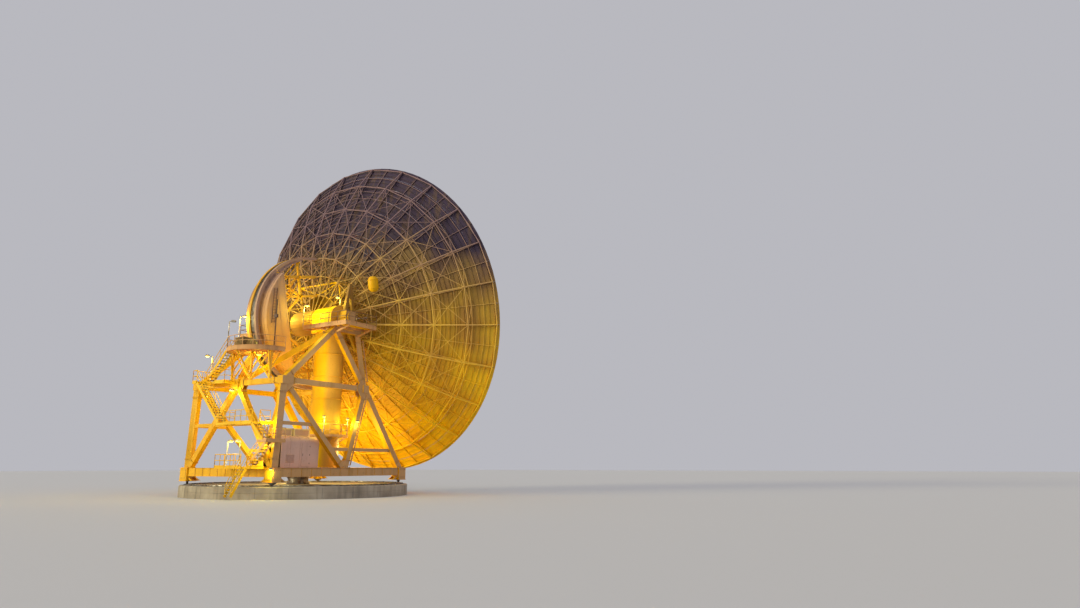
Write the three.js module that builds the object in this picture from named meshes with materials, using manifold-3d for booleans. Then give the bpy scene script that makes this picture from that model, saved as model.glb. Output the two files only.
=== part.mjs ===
// A 34 m radio telescope dish on a wheel-and-track mount, in millimetres, +Z up.
// The origin is on the azimuth axis at ground level, and the dish looks along +Y.
import * as THREE from 'three';
import { mergeVertices } from 'three/addons/utils/BufferGeometryUtils.js';
import Module from 'manifold-3d';

const wasm = await Module();
wasm.setup();

const SEAT = 0.3;              // clearance between pieces that touch
const FULL_TURN = Math.PI * 2;
const FAR = 3e4;               // past every piece
const LAP = 1;                 // overlap of shapes that join into one piece

// Track and foundation
const BASE_X = 5850;           // half spacing of the corner wheels, left to right
const BASE_Y = 7880;           // half spacing of the corner wheels, front to rear
const TRACK_R = Math.hypot(BASE_X, BASE_Y);
const DRUM_R = 10500;
const DRUM_TOP = 1050;
const DRUM_BEVEL = 70;
const RAIL_W = 300;
const RAIL_H = 120;
const PINTLE_R = 1100;
const PINTLE_TOP = 1750;
const ROUND_STEPS = 48;        // facets of the drum, the rail and the reflector

// Wheels and base frame
const WHEEL_R = 450;
const WHEEL_W = 180;
const WHEEL_SIDES = 16;
const WHEEL_Z = DRUM_TOP + RAIL_H + 2 * SEAT + WHEEL_R;
const AXLE_R = 85;
const AXLE_LENGTH = 760;
const AXLE_SIDES = 8;
const POCKET_ROOM = 25;        // air around a wheel in its housing
const CORNER_W = 1000;
const CORNER_LOW = 1400;
const BEAM_W = 700;
const BEAM_LOW = 1850;
const BEAM_TOP = 2600;
const HUB_R = 1000;
const HUB_SIDES = 24;

// Alidade: two braced side towers under the elevation bearings
const MID_Z = 10160;
const MID_X = 5940;
const MID_REAR_Y = -7610;
const MID_FRONT_Y = 2200;
const HEAD_Z = 15750;
const HEAD_X = 5350;
const HEAD_Y = 1490;
const FRONT_BEAM = 340;        // box section of the front beam
const FOOT_Y = 200;            // where the side braces meet the base beam
const LEG = 560;               // box section of the legs
const BRACE = 480;             // box section of the braces
const TIE = 300;               // box section of the light ties
const GUSSET = 700;
const SIDE_TIE_Z = 4300;
const REAR_TIE_Z = 6450;

// Elevation bearings and axis
const AXIS_Z = 17000;
const REST_ELEVATION = THREE.MathUtils.degToRad(12);
const SHAFT_R = 260;
const SHAFT_SIDES = 24;
const PIVOT_SIDES = 48;       // facets of the elevation shafts and their bores
const BEARING = { inner: 5100, outer: 5900, half: 620, top: 17620 };

// Beam tube and its upper mirror housing
const TUBE_X = 3200;
const TUBE_R = 1450;
const TUBE_TOP = 15600;
const TUBE_SIDES = 24;
const ELBOW = { inner: 1750, outer: 4400, half: 1150, spring: 17200, facets: 12 };
const NECK_R = 1050;
const NECK_INNER = 1400;
const BEAM_TUBE_R = 1150;      // the tipping stretch of the beam tube
const BEAM_TUBE_END = 2900;
const SHROUD = { end: 4700, taper: 150 };

// Reflector: a paraboloid of revolution about the boresight
const RIM_R = 17000;
const FOCAL = 11000;
const VERTEX = 3110;           // distance from the elevation axis to the vertex
const SHELL = 60;
const EYE_R = 1250;            // open centre of the reflector
const RING_R = [2900, 4850, 6750, 9400, 12100, 14800];
const RING_DEPTH = [1800, 2040, 2150, 1790, 1300, 880];
const RIM_RING_R = 16880;
const RIM_RING_DEPTH = 250;
const RIBS = 24;
const CHORD = 140;
const HOOP = 90;
const POST = 90;
const RIB_W = 110;

// Elevation wheel and counterweights
const GEAR_R = 6740;
const GEAR_BORE = 5700;        // inside of the rim
const GEAR = { left: -700, right: 350, cut: -200, chord: -3650, steps: 60 };
const RACK_W = 330;
const RACK_DEPTH = 160;
const WEIGHT = { radius: 6250, thick: 1000 };

// Access
const RAILING = 1070;
const POST_W = 60;
const POST_PITCH = 1800;
const DECK = 110;
const FLIGHT_W = 800;
const RISER = 240;
const STRINGER = 260;         // depth of a flight below its steps
const LAMP_POLE = 80;
const LAMP_HEIGHT = 2150;
const LAMP_HEAD = { half: 130, thick: 140 };
const LANE = { outer: -9400, inner: -8560 };   // middle lines of the flights on the rear face

const steel = (colour) => new THREE.MeshStandardMaterial({ color: colour, roughness: 0.55, metalness: 0.1 });
const PAINT = steel('#d8c79c');
const PAINT_DARK = steel('#b3a284');
const DECKING = steel('#8f8778');
const CONCRETE = new THREE.MeshStandardMaterial({ color: '#9a9388', roughness: 0.95, metalness: 0 });
const BARE_STEEL = new THREE.MeshStandardMaterial({ color: '#5a5650', roughness: 0.4, metalness: 0.8 });

// A closed geometry as a solid that can be joined and cut
function toSolid(geometry) {
  const bare = geometry.clone();
  bare.deleteAttribute('normal');
  bare.deleteAttribute('uv');
  const merged = mergeVertices(bare, 0.001);
  const index = merged.index.array;
  const kept = [];
  for (let i = 0; i < index.length; i += 3) {
    const [a, b, c] = index.slice(i, i + 3);
    if (a !== b && b !== c && c !== a) {
      kept.push(a, b, c);
    }
  }
  const vertProperties = new Float32Array(merged.attributes.position.array);
  const mesh = new wasm.Mesh({ numProp: 3, vertProperties, triVerts: new Uint32Array(kept) });
  return new wasm.Manifold(mesh);
}

function toGeometry(solid) {
  const mesh = solid.getMesh();
  const geometry = new THREE.BufferGeometry();
  geometry.setAttribute('position', new THREE.BufferAttribute(mesh.vertProperties, 3));
  geometry.setIndex(new THREE.BufferAttribute(mesh.triVerts, 1));
  geometry.computeVertexNormals();
  return geometry;
}

const join = (solids) => solids.reduce((whole, next) => whole.add(next));
const cut = (solid, tools) => tools.reduce((rest, tool) => rest.subtract(tool), solid);

function piece(name, solid, material) {
  const mesh = new THREE.Mesh(toGeometry(solid), material.clone());
  mesh.name = name;
  return mesh;
}

// A box from its lowest to its highest corner, grown on every side when room is given
function block(low, high, room = 0) {
  const size = high.map((value, axis) => value - low[axis] + 2 * room);
  const middle = high.map((value, axis) => (value + low[axis]) / 2);
  return toSolid(new THREE.BoxGeometry(...size).translate(...middle));
}

const cube = (centre, size, room = 0) =>
  block(centre.map((value) => value - size / 2), centre.map((value) => value + size / 2), room);

// Axes for a bar: Z runs along it, and Y stays as near to straight up as it can
function barAxes(from, to, up) {
  const start = new THREE.Vector3(...from);
  const end = new THREE.Vector3(...to);
  const along = end.clone().sub(start).normalize();
  const side = new THREE.Vector3(...up).cross(along).normalize();
  const top = along.clone().cross(side);
  const axes = new THREE.Matrix4().makeBasis(side, top, along);
  return axes.setPosition(start.add(end).multiplyScalar(0.5));
}

const distance = (from, to) => new THREE.Vector3(...from).distanceTo(new THREE.Vector3(...to));

// A box-section bar between two points
function bar(from, to, width, depth = width, room = 0, up = [0, 0, 1]) {
  const length = distance(from, to) + 2 * room;
  const box = new THREE.BoxGeometry(width + 2 * room, depth + 2 * room, length);
  return toSolid(box.applyMatrix4(barAxes(from, to, up)));
}

// A round bar between two points; one corner of its outline points away from up
function rod(from, to, radius, sides, up = [0, 0, -1]) {
  const cylinder = new THREE.CylinderGeometry(radius, radius, distance(from, to), sides);
  cylinder.rotateX(Math.PI / 2);
  cylinder.rotateZ(Math.PI);
  return toSolid(cylinder.applyMatrix4(barAxes(from, to, up)));
}

// A turned body about +Z from a closed outline of [radius, height] points
function turned(outline, steps) {
  const points = outline.map(([radius, height]) => new THREE.Vector2(radius, height));
  return new THREE.LatheGeometry(points, steps);
}

const standing = (outline, steps) => toSolid(turned(outline, steps).rotateX(Math.PI / 2));
const holeRadius = (radius, sides) => (radius + SEAT) / Math.cos(Math.PI / sides);

const foundation = new THREE.Group();
const alidade = new THREE.Group();
const tipping = new THREE.Group();
tipping.position.z = AXIS_Z;
tipping.rotation.x = REST_ELEVATION;
const SIDES = { left: -1, right: 1 };
const ENDS = { rear: -1, front: 1 };

// Foundation: a round concrete drum with the steel track and the centre pintle on it
const drum = [
  [0, 0], [DRUM_R, 0], [DRUM_R, DRUM_TOP - DRUM_BEVEL],
  [DRUM_R - DRUM_BEVEL, DRUM_TOP], [0, DRUM_TOP],
];
const railLow = DRUM_TOP + SEAT;
const railIn = TRACK_R - RAIL_W / 2;
const railOut = TRACK_R + RAIL_W / 2;
const rail = [[railIn, railLow], [railOut, railLow], [railOut, railLow + RAIL_H], [railIn, railLow + RAIL_H]];
const pintle = [[0, railLow], [PINTLE_R, railLow], [PINTLE_R, PINTLE_TOP], [0, PINTLE_TOP]];
foundation.add(
  piece('foundation_drum', standing(drum, ROUND_STEPS), CONCRETE),
  piece('azimuth_track', standing([...rail, rail[0]], ROUND_STEPS), BARE_STEEL),
  piece('pintle_bearing', standing(pintle, HUB_SIDES), BARE_STEEL),
);

// Wheels: one under each corner, on an axle that points at the azimuth axis
function wheelSolid(x, y, room, hole) {
  const outward = new THREE.Vector3(x, y, 0).normalize();
  const along = (reach) => [x + outward.x * reach, y + outward.y * reach, WHEEL_Z];
  const half = WHEEL_W / 2 + room;
  const axle = AXLE_LENGTH / 2 + hole;
  const axleR = hole > 0 ? holeRadius(AXLE_R, AXLE_SIDES) : AXLE_R;
  const tread = rod(along(-half), along(half), WHEEL_R + room, WHEEL_SIDES);
  return tread.add(rod(along(-axle), along(axle), axleR, AXLE_SIDES));
}

for (const [side, sx] of Object.entries(SIDES)) {
  for (const [end, sy] of Object.entries(ENDS)) {
    const wheel = wheelSolid(sx * BASE_X, sy * BASE_Y, 0, 0);
    alidade.add(piece(`wheel_${end}_${side}`, wheel, BARE_STEEL));
  }
}

// Base frame: a box of beams between four corner housings, and a cross beam on the pintle
for (const [side, sx] of Object.entries(SIDES)) {
  const x = sx * BASE_X;
  const reach = BASE_Y - CORNER_W / 4;
  const beam = block([x - BEAM_W / 2, -reach, BEAM_LOW], [x + BEAM_W / 2, reach, BEAM_TOP]);
  const corner = (y) => block(
    [x - CORNER_W / 2, y - CORNER_W / 2, CORNER_LOW],
    [x + CORNER_W / 2, y + CORNER_W / 2, BEAM_TOP],
  );
  const frame = join([beam, corner(-BASE_Y), corner(BASE_Y)]);
  const pockets = [-BASE_Y, BASE_Y].map((y) => wheelSolid(x, y, POCKET_ROOM, SEAT));
  alidade.add(piece(`base_side_${side}`, cut(frame, pockets), PAINT));
}
const beamEnd = BASE_X - CORNER_W / 2 - SEAT;
for (const [end, sy] of Object.entries(ENDS)) {
  const y = sy * BASE_Y;
  const beam = block([-beamEnd, y - BEAM_W / 2, BEAM_LOW], [beamEnd, y + BEAM_W / 2, BEAM_TOP]);
  alidade.add(piece(`base_beam_${end}`, beam, PAINT));
}
const crossEnd = BASE_X - BEAM_W / 2 - SEAT;
const hubLow = PINTLE_TOP + SEAT;
const hub = standing([[0, hubLow], [HUB_R, hubLow], [HUB_R, BEAM_TOP], [0, BEAM_TOP]], HUB_SIDES);
const crossBeam = block([-crossEnd, -BEAM_W / 2, BEAM_LOW], [crossEnd, BEAM_W / 2, BEAM_TOP]);
alidade.add(piece('base_cross_beam', hub.add(crossBeam), PAINT));

// Side towers. Each bar is cut back where it meets the heavier one that carries it.
const under = block([-FAR, -FAR, -FAR], [FAR, FAR, BEAM_TOP + SEAT]);
const lerp = (from, to, share) => from.map((value, axis) => value + (to[axis] - value) * share);
const atHeight = (from, to, z) => lerp(from, to, (z - from[2]) / (to[2] - from[2]));

function towerPoints(sx) {
  return {
    rearFoot: [sx * BASE_X, -BASE_Y, BEAM_TOP - LEG / 2],
    frontFoot: [sx * BASE_X, BASE_Y, BEAM_TOP - LEG / 2],
    braceFoot: [sx * BASE_X, FOOT_Y, BEAM_TOP - LEG / 2],
    rearKnee: [sx * MID_X, MID_REAR_Y, MID_Z],
    frontKnee: [sx * MID_X, MID_FRONT_Y, MID_Z],
    rearHead: [sx * HEAD_X, -HEAD_Y, HEAD_Z],
    frontHead: [sx * HEAD_X, HEAD_Y, HEAD_Z],
  };
}

const rearNode = [0, MID_REAR_Y, MID_Z];
const legOf = (foot, knee, room = 0) => bar(foot, knee, LEG, LEG, room).add(cube(knee, GUSSET, room));
const midBeam = (from, to, room = 0) => bar(from, to, BRACE, BRACE, room);

for (const [side, sx] of Object.entries(SIDES)) {
  const p = towerPoints(sx);
  const rearLeg = legOf(p.rearFoot, p.rearKnee).subtract(under);
  const frontLeg = legOf(p.frontFoot, p.frontKnee).subtract(under);
  const legs = [legOf(p.rearFoot, p.rearKnee, SEAT), legOf(p.frontFoot, p.frontKnee, SEAT)];
  const beam = cut(midBeam(p.rearKnee, p.frontKnee), legs);
  const beamRoom = midBeam(p.rearKnee, p.frontKnee, SEAT);

  const tieRear = atHeight(p.braceFoot, p.rearKnee, SIDE_TIE_Z);
  const tieFront = atHeight(p.frontFoot, p.frontKnee, SIDE_TIE_Z);
  const shortTie = atHeight(p.braceFoot, p.rearKnee, REAR_TIE_Z);
  const legTie = atHeight(p.rearFoot, p.rearKnee, REAR_TIE_Z);
  const braces = join([
    bar(p.braceFoot, p.rearKnee, BRACE),
    bar(p.braceFoot, p.frontKnee, BRACE),
    bar(tieRear, tieFront, TIE),
    bar(legTie, shortTie, TIE),
  ]);

  const head = join([
    bar(p.rearKnee, p.rearHead, BRACE),
    bar(p.frontKnee, p.rearHead, BRACE),
    bar(p.frontKnee, p.frontHead, BRACE),
    bar(p.rearHead, p.frontHead, LEG),
    cube(p.rearHead, LEG),
    cube(p.frontHead, LEG),
    block(
      [Math.min(sx * BEARING.inner, sx * BEARING.outer), -BEARING.half, HEAD_Z],
      [Math.max(sx * BEARING.inner, sx * BEARING.outer), BEARING.half, BEARING.top],
    ),
  ]);
  const boreEnds = [BEARING.inner - LEG, BEARING.outer + LEG].map((x) => [sx * x, 0, AXIS_Z]);
  const bore = rod(...boreEnds, holeRadius(SHAFT_R, PIVOT_SIDES), PIVOT_SIDES);
  alidade.add(
    piece(`rear_leg_${side}`, rearLeg, PAINT),
    piece(`front_leg_${side}`, frontLeg, PAINT),
    piece(`mid_beam_${side}`, beam, PAINT),
    piece(`side_brace_${side}`, cut(braces, [...legs, beamRoom, under]), PAINT),
    piece(`tower_head_${side}`, cut(head, [...legs, beamRoom, bore]), PAINT),
  );
}

// Rear and front faces between the two towers
const left = towerPoints(-1);
const right = towerPoints(1);
const knees = [left, right].flatMap((p) => [
  legOf(p.rearFoot, p.rearKnee, SEAT),
  legOf(p.frontFoot, p.frontKnee, SEAT),
]);
const heads = [left, right].map((p) => cube(p.rearHead, LEG, SEAT));
const headBars = [left, right].flatMap((p) => [
  bar(p.rearKnee, p.rearHead, BRACE, BRACE, SEAT),
  bar(p.frontKnee, p.frontHead, BRACE, BRACE, SEAT),
  bar(p.frontKnee, p.rearHead, BRACE, BRACE, SEAT),
]);
const frontBeam = bar(left.frontKnee, right.frontKnee, FRONT_BEAM);
const rearBeam = (room) => midBeam(left.rearKnee, right.rearKnee, room).add(cube(rearNode, GUSSET, room));
const rearTieEnds = [left, right].map((p) => atHeight(p.rearFoot, p.rearKnee, REAR_TIE_Z));
const rearFace = (room) => join([
  bar(left.rearFoot, rearNode, BRACE, BRACE, room),
  bar(right.rearFoot, rearNode, BRACE, BRACE, room),
  bar(...rearTieEnds, TIE, TIE, room),
]);
const upperBraces = join([bar(rearNode, left.rearHead, BRACE), bar(rearNode, right.rearHead, BRACE)]);
alidade.add(
  piece('mid_beam_rear', cut(rearBeam(0), [...knees, ...headBars]), PAINT),
  piece('mid_beam_front', cut(frontBeam, [...knees, ...headBars]), PAINT),
  piece('rear_brace', cut(rearFace(0), [...knees, rearBeam(SEAT), under]), PAINT),
  piece('rear_upper_brace', cut(upperBraces, [...heads, ...headBars, rearBeam(SEAT)]), PAINT),
);

// Beam tube: the upright shroud that carries the beam down from the elevation axis
const tubeFoot = [TUBE_X, 0, BEAM_TOP + SEAT];
const tube = rod(tubeFoot, [TUBE_X, 0, TUBE_TOP], TUBE_R, TUBE_SIDES, [0, 1, 0]);
const elbowShape = new THREE.Shape();
elbowShape.moveTo(-ELBOW.half, TUBE_TOP + SEAT);
elbowShape.lineTo(ELBOW.half, TUBE_TOP + SEAT);
elbowShape.absarc(0, ELBOW.spring, ELBOW.half, 0, Math.PI);
const elbowBox = new THREE.ExtrudeGeometry(elbowShape, {
  depth: ELBOW.outer - ELBOW.inner,
  bevelEnabled: false,
  curveSegments: ELBOW.facets,
});
elbowBox.rotateX(Math.PI / 2).rotateZ(Math.PI / 2).translate(ELBOW.inner, 0, 0);
const neck = rod([NECK_INNER, 0, AXIS_Z], [ELBOW.inner + LAP, 0, AXIS_Z], NECK_R, SHAFT_SIDES);
alidade.add(
  piece('beam_tube', tube, PAINT),
  piece('mirror_housing', toSolid(elbowBox).add(neck), PAINT),
);

// A railing along a path of [x, y] corners on a deck: posts, top rail and knee rail
function railing(path, z) {
  const parts = [];
  for (let i = 1; i < path.length; i += 1) {
    const from = path[i - 1];
    const to = path[i];
    const run = Math.hypot(to[0] - from[0], to[1] - from[1]);
    for (const share of [0.5, 1]) {
      const height = z + RAILING * share - POST_W / 2;
      parts.push(bar([...from, height], [...to, height], POST_W));
    }
    const count = Math.max(1, Math.round(run / POST_PITCH));
    for (let k = i === 1 ? 0 : 1; k <= count; k += 1) {
      const x = from[0] + (to[0] - from[0]) * (k / count);
      const y = from[1] + (to[1] - from[1]) * (k / count);
      parts.push(bar([x, y, z - DECK / 2], [x, y, z + RAILING], POST_W, POST_W, 0, [0, 1, 0]));
    }
  }
  return parts;
}

// A deck of even thickness with the given plan, its top at z
function deck(plan, z) {
  const shape = new THREE.Shape(plan.map(([x, y]) => new THREE.Vector2(x, y)));
  const slab = new THREE.ExtrudeGeometry(shape, { depth: DECK, bevelEnabled: false });
  return toSolid(slab.translate(0, 0, z - DECK));
}

const pole = (x, y, z, height) =>
  bar([x, y, z - DECK / 2], [x, y, z + height], LAMP_POLE, LAMP_POLE, 0, [0, 1, 0]);

function lampPole(x, y, z, height = LAMP_HEIGHT) {
  const { half, thick } = LAMP_HEAD;
  const head = block([x - half, y - half, z + height - thick], [x + half, y + half, z + height]);
  return [pole(x, y, z, height), head];
}

// Bearing platforms: L-shaped decks behind and outside each elevation bearing
const PLATFORM = { left: 2050, right: 1750, out: 7700, rear: -2300, back: -1450, side: 5950, front: 1750 };
const platformZ = HEAD_Z + LEG / 2 + SEAT + DECK;
for (const [side, sx] of Object.entries(SIDES)) {
  const inner = PLATFORM[side];
  const plan = [
    [inner, PLATFORM.rear],
    [PLATFORM.out, PLATFORM.rear],
    [PLATFORM.out, PLATFORM.front],
    [PLATFORM.side, PLATFORM.front],
    [PLATFORM.side, PLATFORM.back],
    [inner, PLATFORM.back],
  ].map(([x, y]) => [sx * x, y]);
  const inset = POST_W / 2;
  const line = [
    [inner + inset, PLATFORM.rear + inset],
    [PLATFORM.out - inset, PLATFORM.rear + inset],
    [PLATFORM.out - inset, PLATFORM.front - inset],
    [PLATFORM.side + inset, PLATFORM.front - inset],
  ].map(([x, y]) => [sx * x, y]);
  const parts = [deck(plan, platformZ), ...railing(line, platformZ), ...lampPole(...line[0], platformZ)];
  alidade.add(piece(`bearing_platform_${side}`, join(parts), DECKING));
}

// Drive platform: a round-backed deck behind the elevation wheel, on posts over the rear beam
const DRIVE = { x: 1500, y: -6520, radius: 3100, z: 13200, steps: 12, stair: -400 };
const DRIVE_POSTS = [-1100, 1500, 4100];
const DRIVE_POST = 180;
const DRIVE_BRACE = 110;
const DRIVE_LAMPS = { corner: 2600, side: 3550 };
const MAST = { x: 4230, y: -7490, height: 4400 };
function driveEdge(inset) {
  const corners = [];
  for (let k = 0; k <= DRIVE.steps; k += 1) {
    const turn = Math.PI + (Math.PI * k) / DRIVE.steps;
    const radius = DRIVE.radius - inset;
    corners.push([DRIVE.x + radius * Math.cos(turn), DRIVE.y + radius * Math.sin(turn)]);
  }
  return corners;
}
const rim = POST_W / 2;
const stairWell = block(
  [-FAR, LANE.inner - FLIGHT_W / 2 - SEAT, -FAR],
  [DRIVE.stair, LANE.inner + FLIGHT_W / 2 + SEAT, FAR],
);
const atReach = (from, to, x) => lerp(from, to, (x - from[0]) / (to[0] - from[0]));
const railPath = driveEdge(rim);
const gateX = DRIVE.stair + LAMP_POLE / 2;
const corner = railPath.findIndex(([x]) => x > gateX);
const gate = atReach(railPath[corner - 1], railPath[corner], gateX);
const sidePath = railPath.slice(0, corner - 1);
const postFoot = MID_Z + BRACE / 2 + SEAT;
const rearPost = (x, z) => [x, MID_REAR_Y, z];
const driveTruss = DRIVE_POSTS.map((x) =>
  bar(rearPost(x, postFoot), rearPost(x, DRIVE.z - DECK / 2), DRIVE_POST, DRIVE_POST, 0, [0, 1, 0]));
for (let k = 1; k < DRIVE_POSTS.length; k += 1) {
  for (const [low, high] of [[k - 1, k], [k, k - 1]]) {
    const from = rearPost(DRIVE_POSTS[low], postFoot);
    driveTruss.push(bar(from, rearPost(DRIVE_POSTS[high], DRIVE.z - DECK), DRIVE_BRACE));
  }
}
const upperBraceRoom = [left, right].map((p) => bar(rearNode, p.rearHead, BRACE, BRACE, SEAT));
const driveUnder = block([-FAR, -FAR, -FAR], [FAR, FAR, postFoot]);
const driveDeck = join([
  deck(driveEdge(0), DRIVE.z).subtract(stairWell),
  ...driveTruss,
  ...railing([gate, ...railPath.slice(corner)], DRIVE.z),
  ...railing(sidePath, DRIVE.z),
  ...lampPole(...gate, DRIVE.z, DRIVE_LAMPS.corner),
  ...lampPole(...lerp(railPath[0], railPath[1], 0.6), DRIVE.z, DRIVE_LAMPS.side),
  pole(MAST.x, MAST.y, DRIVE.z, MAST.height),
]);
const driveCuts = [...upperBraceRoom, rearBeam(SEAT), driveUnder];
alidade.add(piece('drive_platform', cut(driveDeck, driveCuts), DECKING));

// Elevation drive: a gearbox on the drive platform with its nose close to the gear rim, and a motor beside it
const gearX = (GEAR.left + GEAR.right) / 2;
const GEARBOX = { half: 600, rear: -7900, front: -6900, high: 1250 };
const NOSE = { half: 330, tip: -6420, low: 350, high: 950 };
const MOTOR = { y: -7400, up: 650, radius: 300, reach: 900, sides: 12 };
const gearbox = block(
  [gearX - GEARBOX.half, GEARBOX.rear, DRIVE.z + SEAT],
  [gearX + GEARBOX.half, GEARBOX.front, DRIVE.z + GEARBOX.high],
);
const nose = block(
  [gearX - NOSE.half, GEARBOX.front - LAP, DRIVE.z + NOSE.low],
  [gearX + NOSE.half, NOSE.tip, DRIVE.z + NOSE.high],
);
const motorAt = (reach) => [gearX + GEARBOX.half + reach, MOTOR.y, DRIVE.z + MOTOR.up];
const motor = rod(motorAt(-LAP), motorAt(MOTOR.reach), MOTOR.radius, MOTOR.sides);
alidade.add(piece('elevation_drive', join([gearbox, nose, motor]), PAINT_DARK));

// Stairs on the rear face, in an inner and an outer lane, with a landing between flights
const LANES = { out: LANE.outer - FLIGHT_W / 2, between: -8980, in: MID_REAR_Y - BRACE / 2 - SEAT };
const UPPER = { z: 10300, start: -3750, step: -3100, end: -300, foot: -3000, lamp: 2650 };
const MIDDLE = { z: REAR_TIE_Z, start: 150, foot: 450, end: 5000 };
const TURN = { z: 4900, start: 5900, foot: 6500, end: 7100 };
const LOWER = { z: BEAM_TOP + SEAT + DECK, start: 500, foot: 3700, end: 5300, lamps: [2080, 3780] };
const GROUND = { x: 4400, z: 250, run: 1400 };

// The side view of a flight from its foot to its head: steps on top, a straight soffit, a flat foot
function flightShape(foot, head) {
  const steps = Math.round((head[1] - foot[1]) / RISER);
  const run = (head[0] - foot[0]) / steps;
  const rise = (head[1] - foot[1]) / steps;
  const outline = [[...foot]];
  for (let k = 0; k < steps; k += 1) {
    outline.push([foot[0] + run * k, foot[1] + rise * (k + 1)]);
    outline.push([foot[0] + run * (k + 1), foot[1] + rise * (k + 1)]);
  }
  outline.push([head[0], head[1] - STRINGER], [foot[0] + (run * STRINGER) / rise, foot[1]]);
  return new THREE.Shape(outline.map(([reach, height]) => new THREE.Vector2(reach, height)));
}

// A flight along X in the lane with the given middle line
function flight(foot, head, middle) {
  const body = new THREE.ExtrudeGeometry(flightShape(foot, head), { depth: FLIGHT_W, bevelEnabled: false });
  return toSolid(body.rotateX(Math.PI / 2).translate(0, middle + FLIGHT_W / 2, 0));
}

const rectangle = (x0, y0, x1, y1) => [[x0, y0], [x1, y0], [x1, y1], [x0, y1]];
const rearRoom = [...knees, rearBeam(SEAT), rearFace(SEAT)];
const backRail = LANES.in - 2 * POST_W;
const upperPlan = [
  [UPPER.start, LANES.out], [UPPER.step, LANES.out], [UPPER.step, LANES.between],
  [UPPER.end, LANES.between], [UPPER.end, LANES.in], [UPPER.start, LANES.in],
];
const upperLine = [
  [UPPER.step - rim, LANES.out + rim], [UPPER.start + rim, LANES.out + rim], [UPPER.start + rim, backRail],
];
const groundStair = new THREE.ExtrudeGeometry(
  flightShape([0, GROUND.z], [GROUND.run, LOWER.z]),
  { depth: FLIGHT_W, bevelEnabled: false },
);
groundStair.rotateX(Math.PI / 2).rotateZ(Math.PI / 2);
groundStair.translate(GROUND.x - FLIGHT_W / 2, LANES.out - GROUND.run + LAP, 0);
const upperLanding = join([
  deck(upperPlan, UPPER.z),
  flight([MIDDLE.foot, MIDDLE.z + SEAT], [UPPER.step - LAP, UPPER.z], LANE.outer),
  ...railing(upperLine, UPPER.z),
  ...lampPole(UPPER.start + rim, backRail, UPPER.z, UPPER.lamp),
]);
const middleLanding = join([
  deck(rectangle(MIDDLE.start, LANES.out, MIDDLE.end, LANES.in), MIDDLE.z),
  flight([TURN.foot, TURN.z + SEAT], [MIDDLE.end - LAP, MIDDLE.z], LANE.outer),
  ...railing([[MIDDLE.foot + FLIGHT_W, LANES.out + rim], [MIDDLE.end - rim, LANES.out + rim]], MIDDLE.z),
]);
const turnLanding = join([
  deck(rectangle(TURN.start, LANES.out, TURN.end, LANES.in), TURN.z),
  flight([LOWER.foot, LOWER.z + SEAT], [TURN.start + LAP, TURN.z], LANE.inner),
  ...railing([[TURN.end - rim, LANES.out + rim], [TURN.end - rim, LANES.between + rim]], TURN.z),
]);
const lowerLanding = join([
  deck(rectangle(LOWER.start, LANES.out, LOWER.end, LANES.in), LOWER.z),
  toSolid(groundStair),
  ...railing([
    [GROUND.x - FLIGHT_W / 2 - rim, LANES.out + rim], [LOWER.start + rim, LANES.out + rim],
    [LOWER.start + rim, LANES.between],
  ], LOWER.z),
  ...LOWER.lamps.flatMap((x) => lampPole(x, LANES.out + rim, LOWER.z)),
]);
const driveStair = flight([UPPER.foot, UPPER.z + SEAT], [DRIVE.stair - SEAT, DRIVE.z], LANE.inner);
alidade.add(
  piece('drive_stair', driveStair, DECKING),
  piece('upper_landing', cut(upperLanding, rearRoom), DECKING),
  piece('middle_landing', cut(middleLanding, rearRoom), DECKING),
  piece('turn_landing', cut(turnLanding, rearRoom), DECKING),
  piece('lower_landing', cut(lowerLanding, rearRoom), DECKING),
);

// Equipment enclosure beside the tube, on two skids between the rear beam and the cross beam
const CABIN = { x0: 3300, x1: 5450, y0: -6900, y1: -2650, floor: 2580, top: 5400, bevel: 500 };
const SKIDS = { at: [3600, 5150], width: 200, depth: 260 };
const cabinShape = new THREE.Shape([
  new THREE.Vector2(CABIN.x0, CABIN.floor),
  new THREE.Vector2(CABIN.x1, CABIN.floor),
  new THREE.Vector2(CABIN.x1, CABIN.top - CABIN.bevel),
  new THREE.Vector2(CABIN.x1 - CABIN.bevel, CABIN.top),
  new THREE.Vector2(CABIN.x0, CABIN.top),
]);
const cabin = new THREE.ExtrudeGeometry(cabinShape, { depth: CABIN.y1 - CABIN.y0, bevelEnabled: false });
cabin.rotateX(Math.PI / 2).translate(0, CABIN.y1, 0);
const skidRear = -BASE_Y + BEAM_W / 2 + SEAT;
const skidFront = -BEAM_W / 2 - SEAT;
const skids = SKIDS.at.map((x) => block(
  [x - SKIDS.width / 2, skidRear, BEAM_TOP - SKIDS.depth],
  [x + SKIDS.width / 2, skidFront, BEAM_TOP],
));
alidade.add(piece('equipment_cabin', join([toSolid(cabin), ...skids]), PAINT));

// Tube walkway: a railed ring deck round the tube
const WALK = { z: 5600, outer: 2250, sides: 12, posts: 6 };
const ringBar = (z) => [
  [WALK.outer - POST_W, z - POST_W], [WALK.outer, z - POST_W], [WALK.outer, z], [WALK.outer - POST_W, z],
];
const walkPosts = [];
for (let k = 0; k < WALK.posts; k += 1) {
  const turn = (k * FULL_TURN) / WALK.posts;
  const [x, y] = [(WALK.outer - rim) * Math.cos(turn), (WALK.outer - rim) * Math.sin(turn)];
  walkPosts.push(bar([x, y, WALK.z - rim], [x, y, WALK.z + RAILING - rim], POST_W, POST_W, 0, [0, 1, 0]));
}
const walkPlate = [[0, WALK.z - DECK], [WALK.outer, WALK.z - DECK], [WALK.outer, WALK.z], [0, WALK.z]];
const walkRails = [0.5, 1].map((share) => ringBar(WALK.z + RAILING * share));
const walkway = join([
  standing(walkPlate, WALK.sides),
  ...walkRails.map((section) => standing([...section, section[0]], WALK.sides)),
  ...walkPosts,
]);
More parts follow.
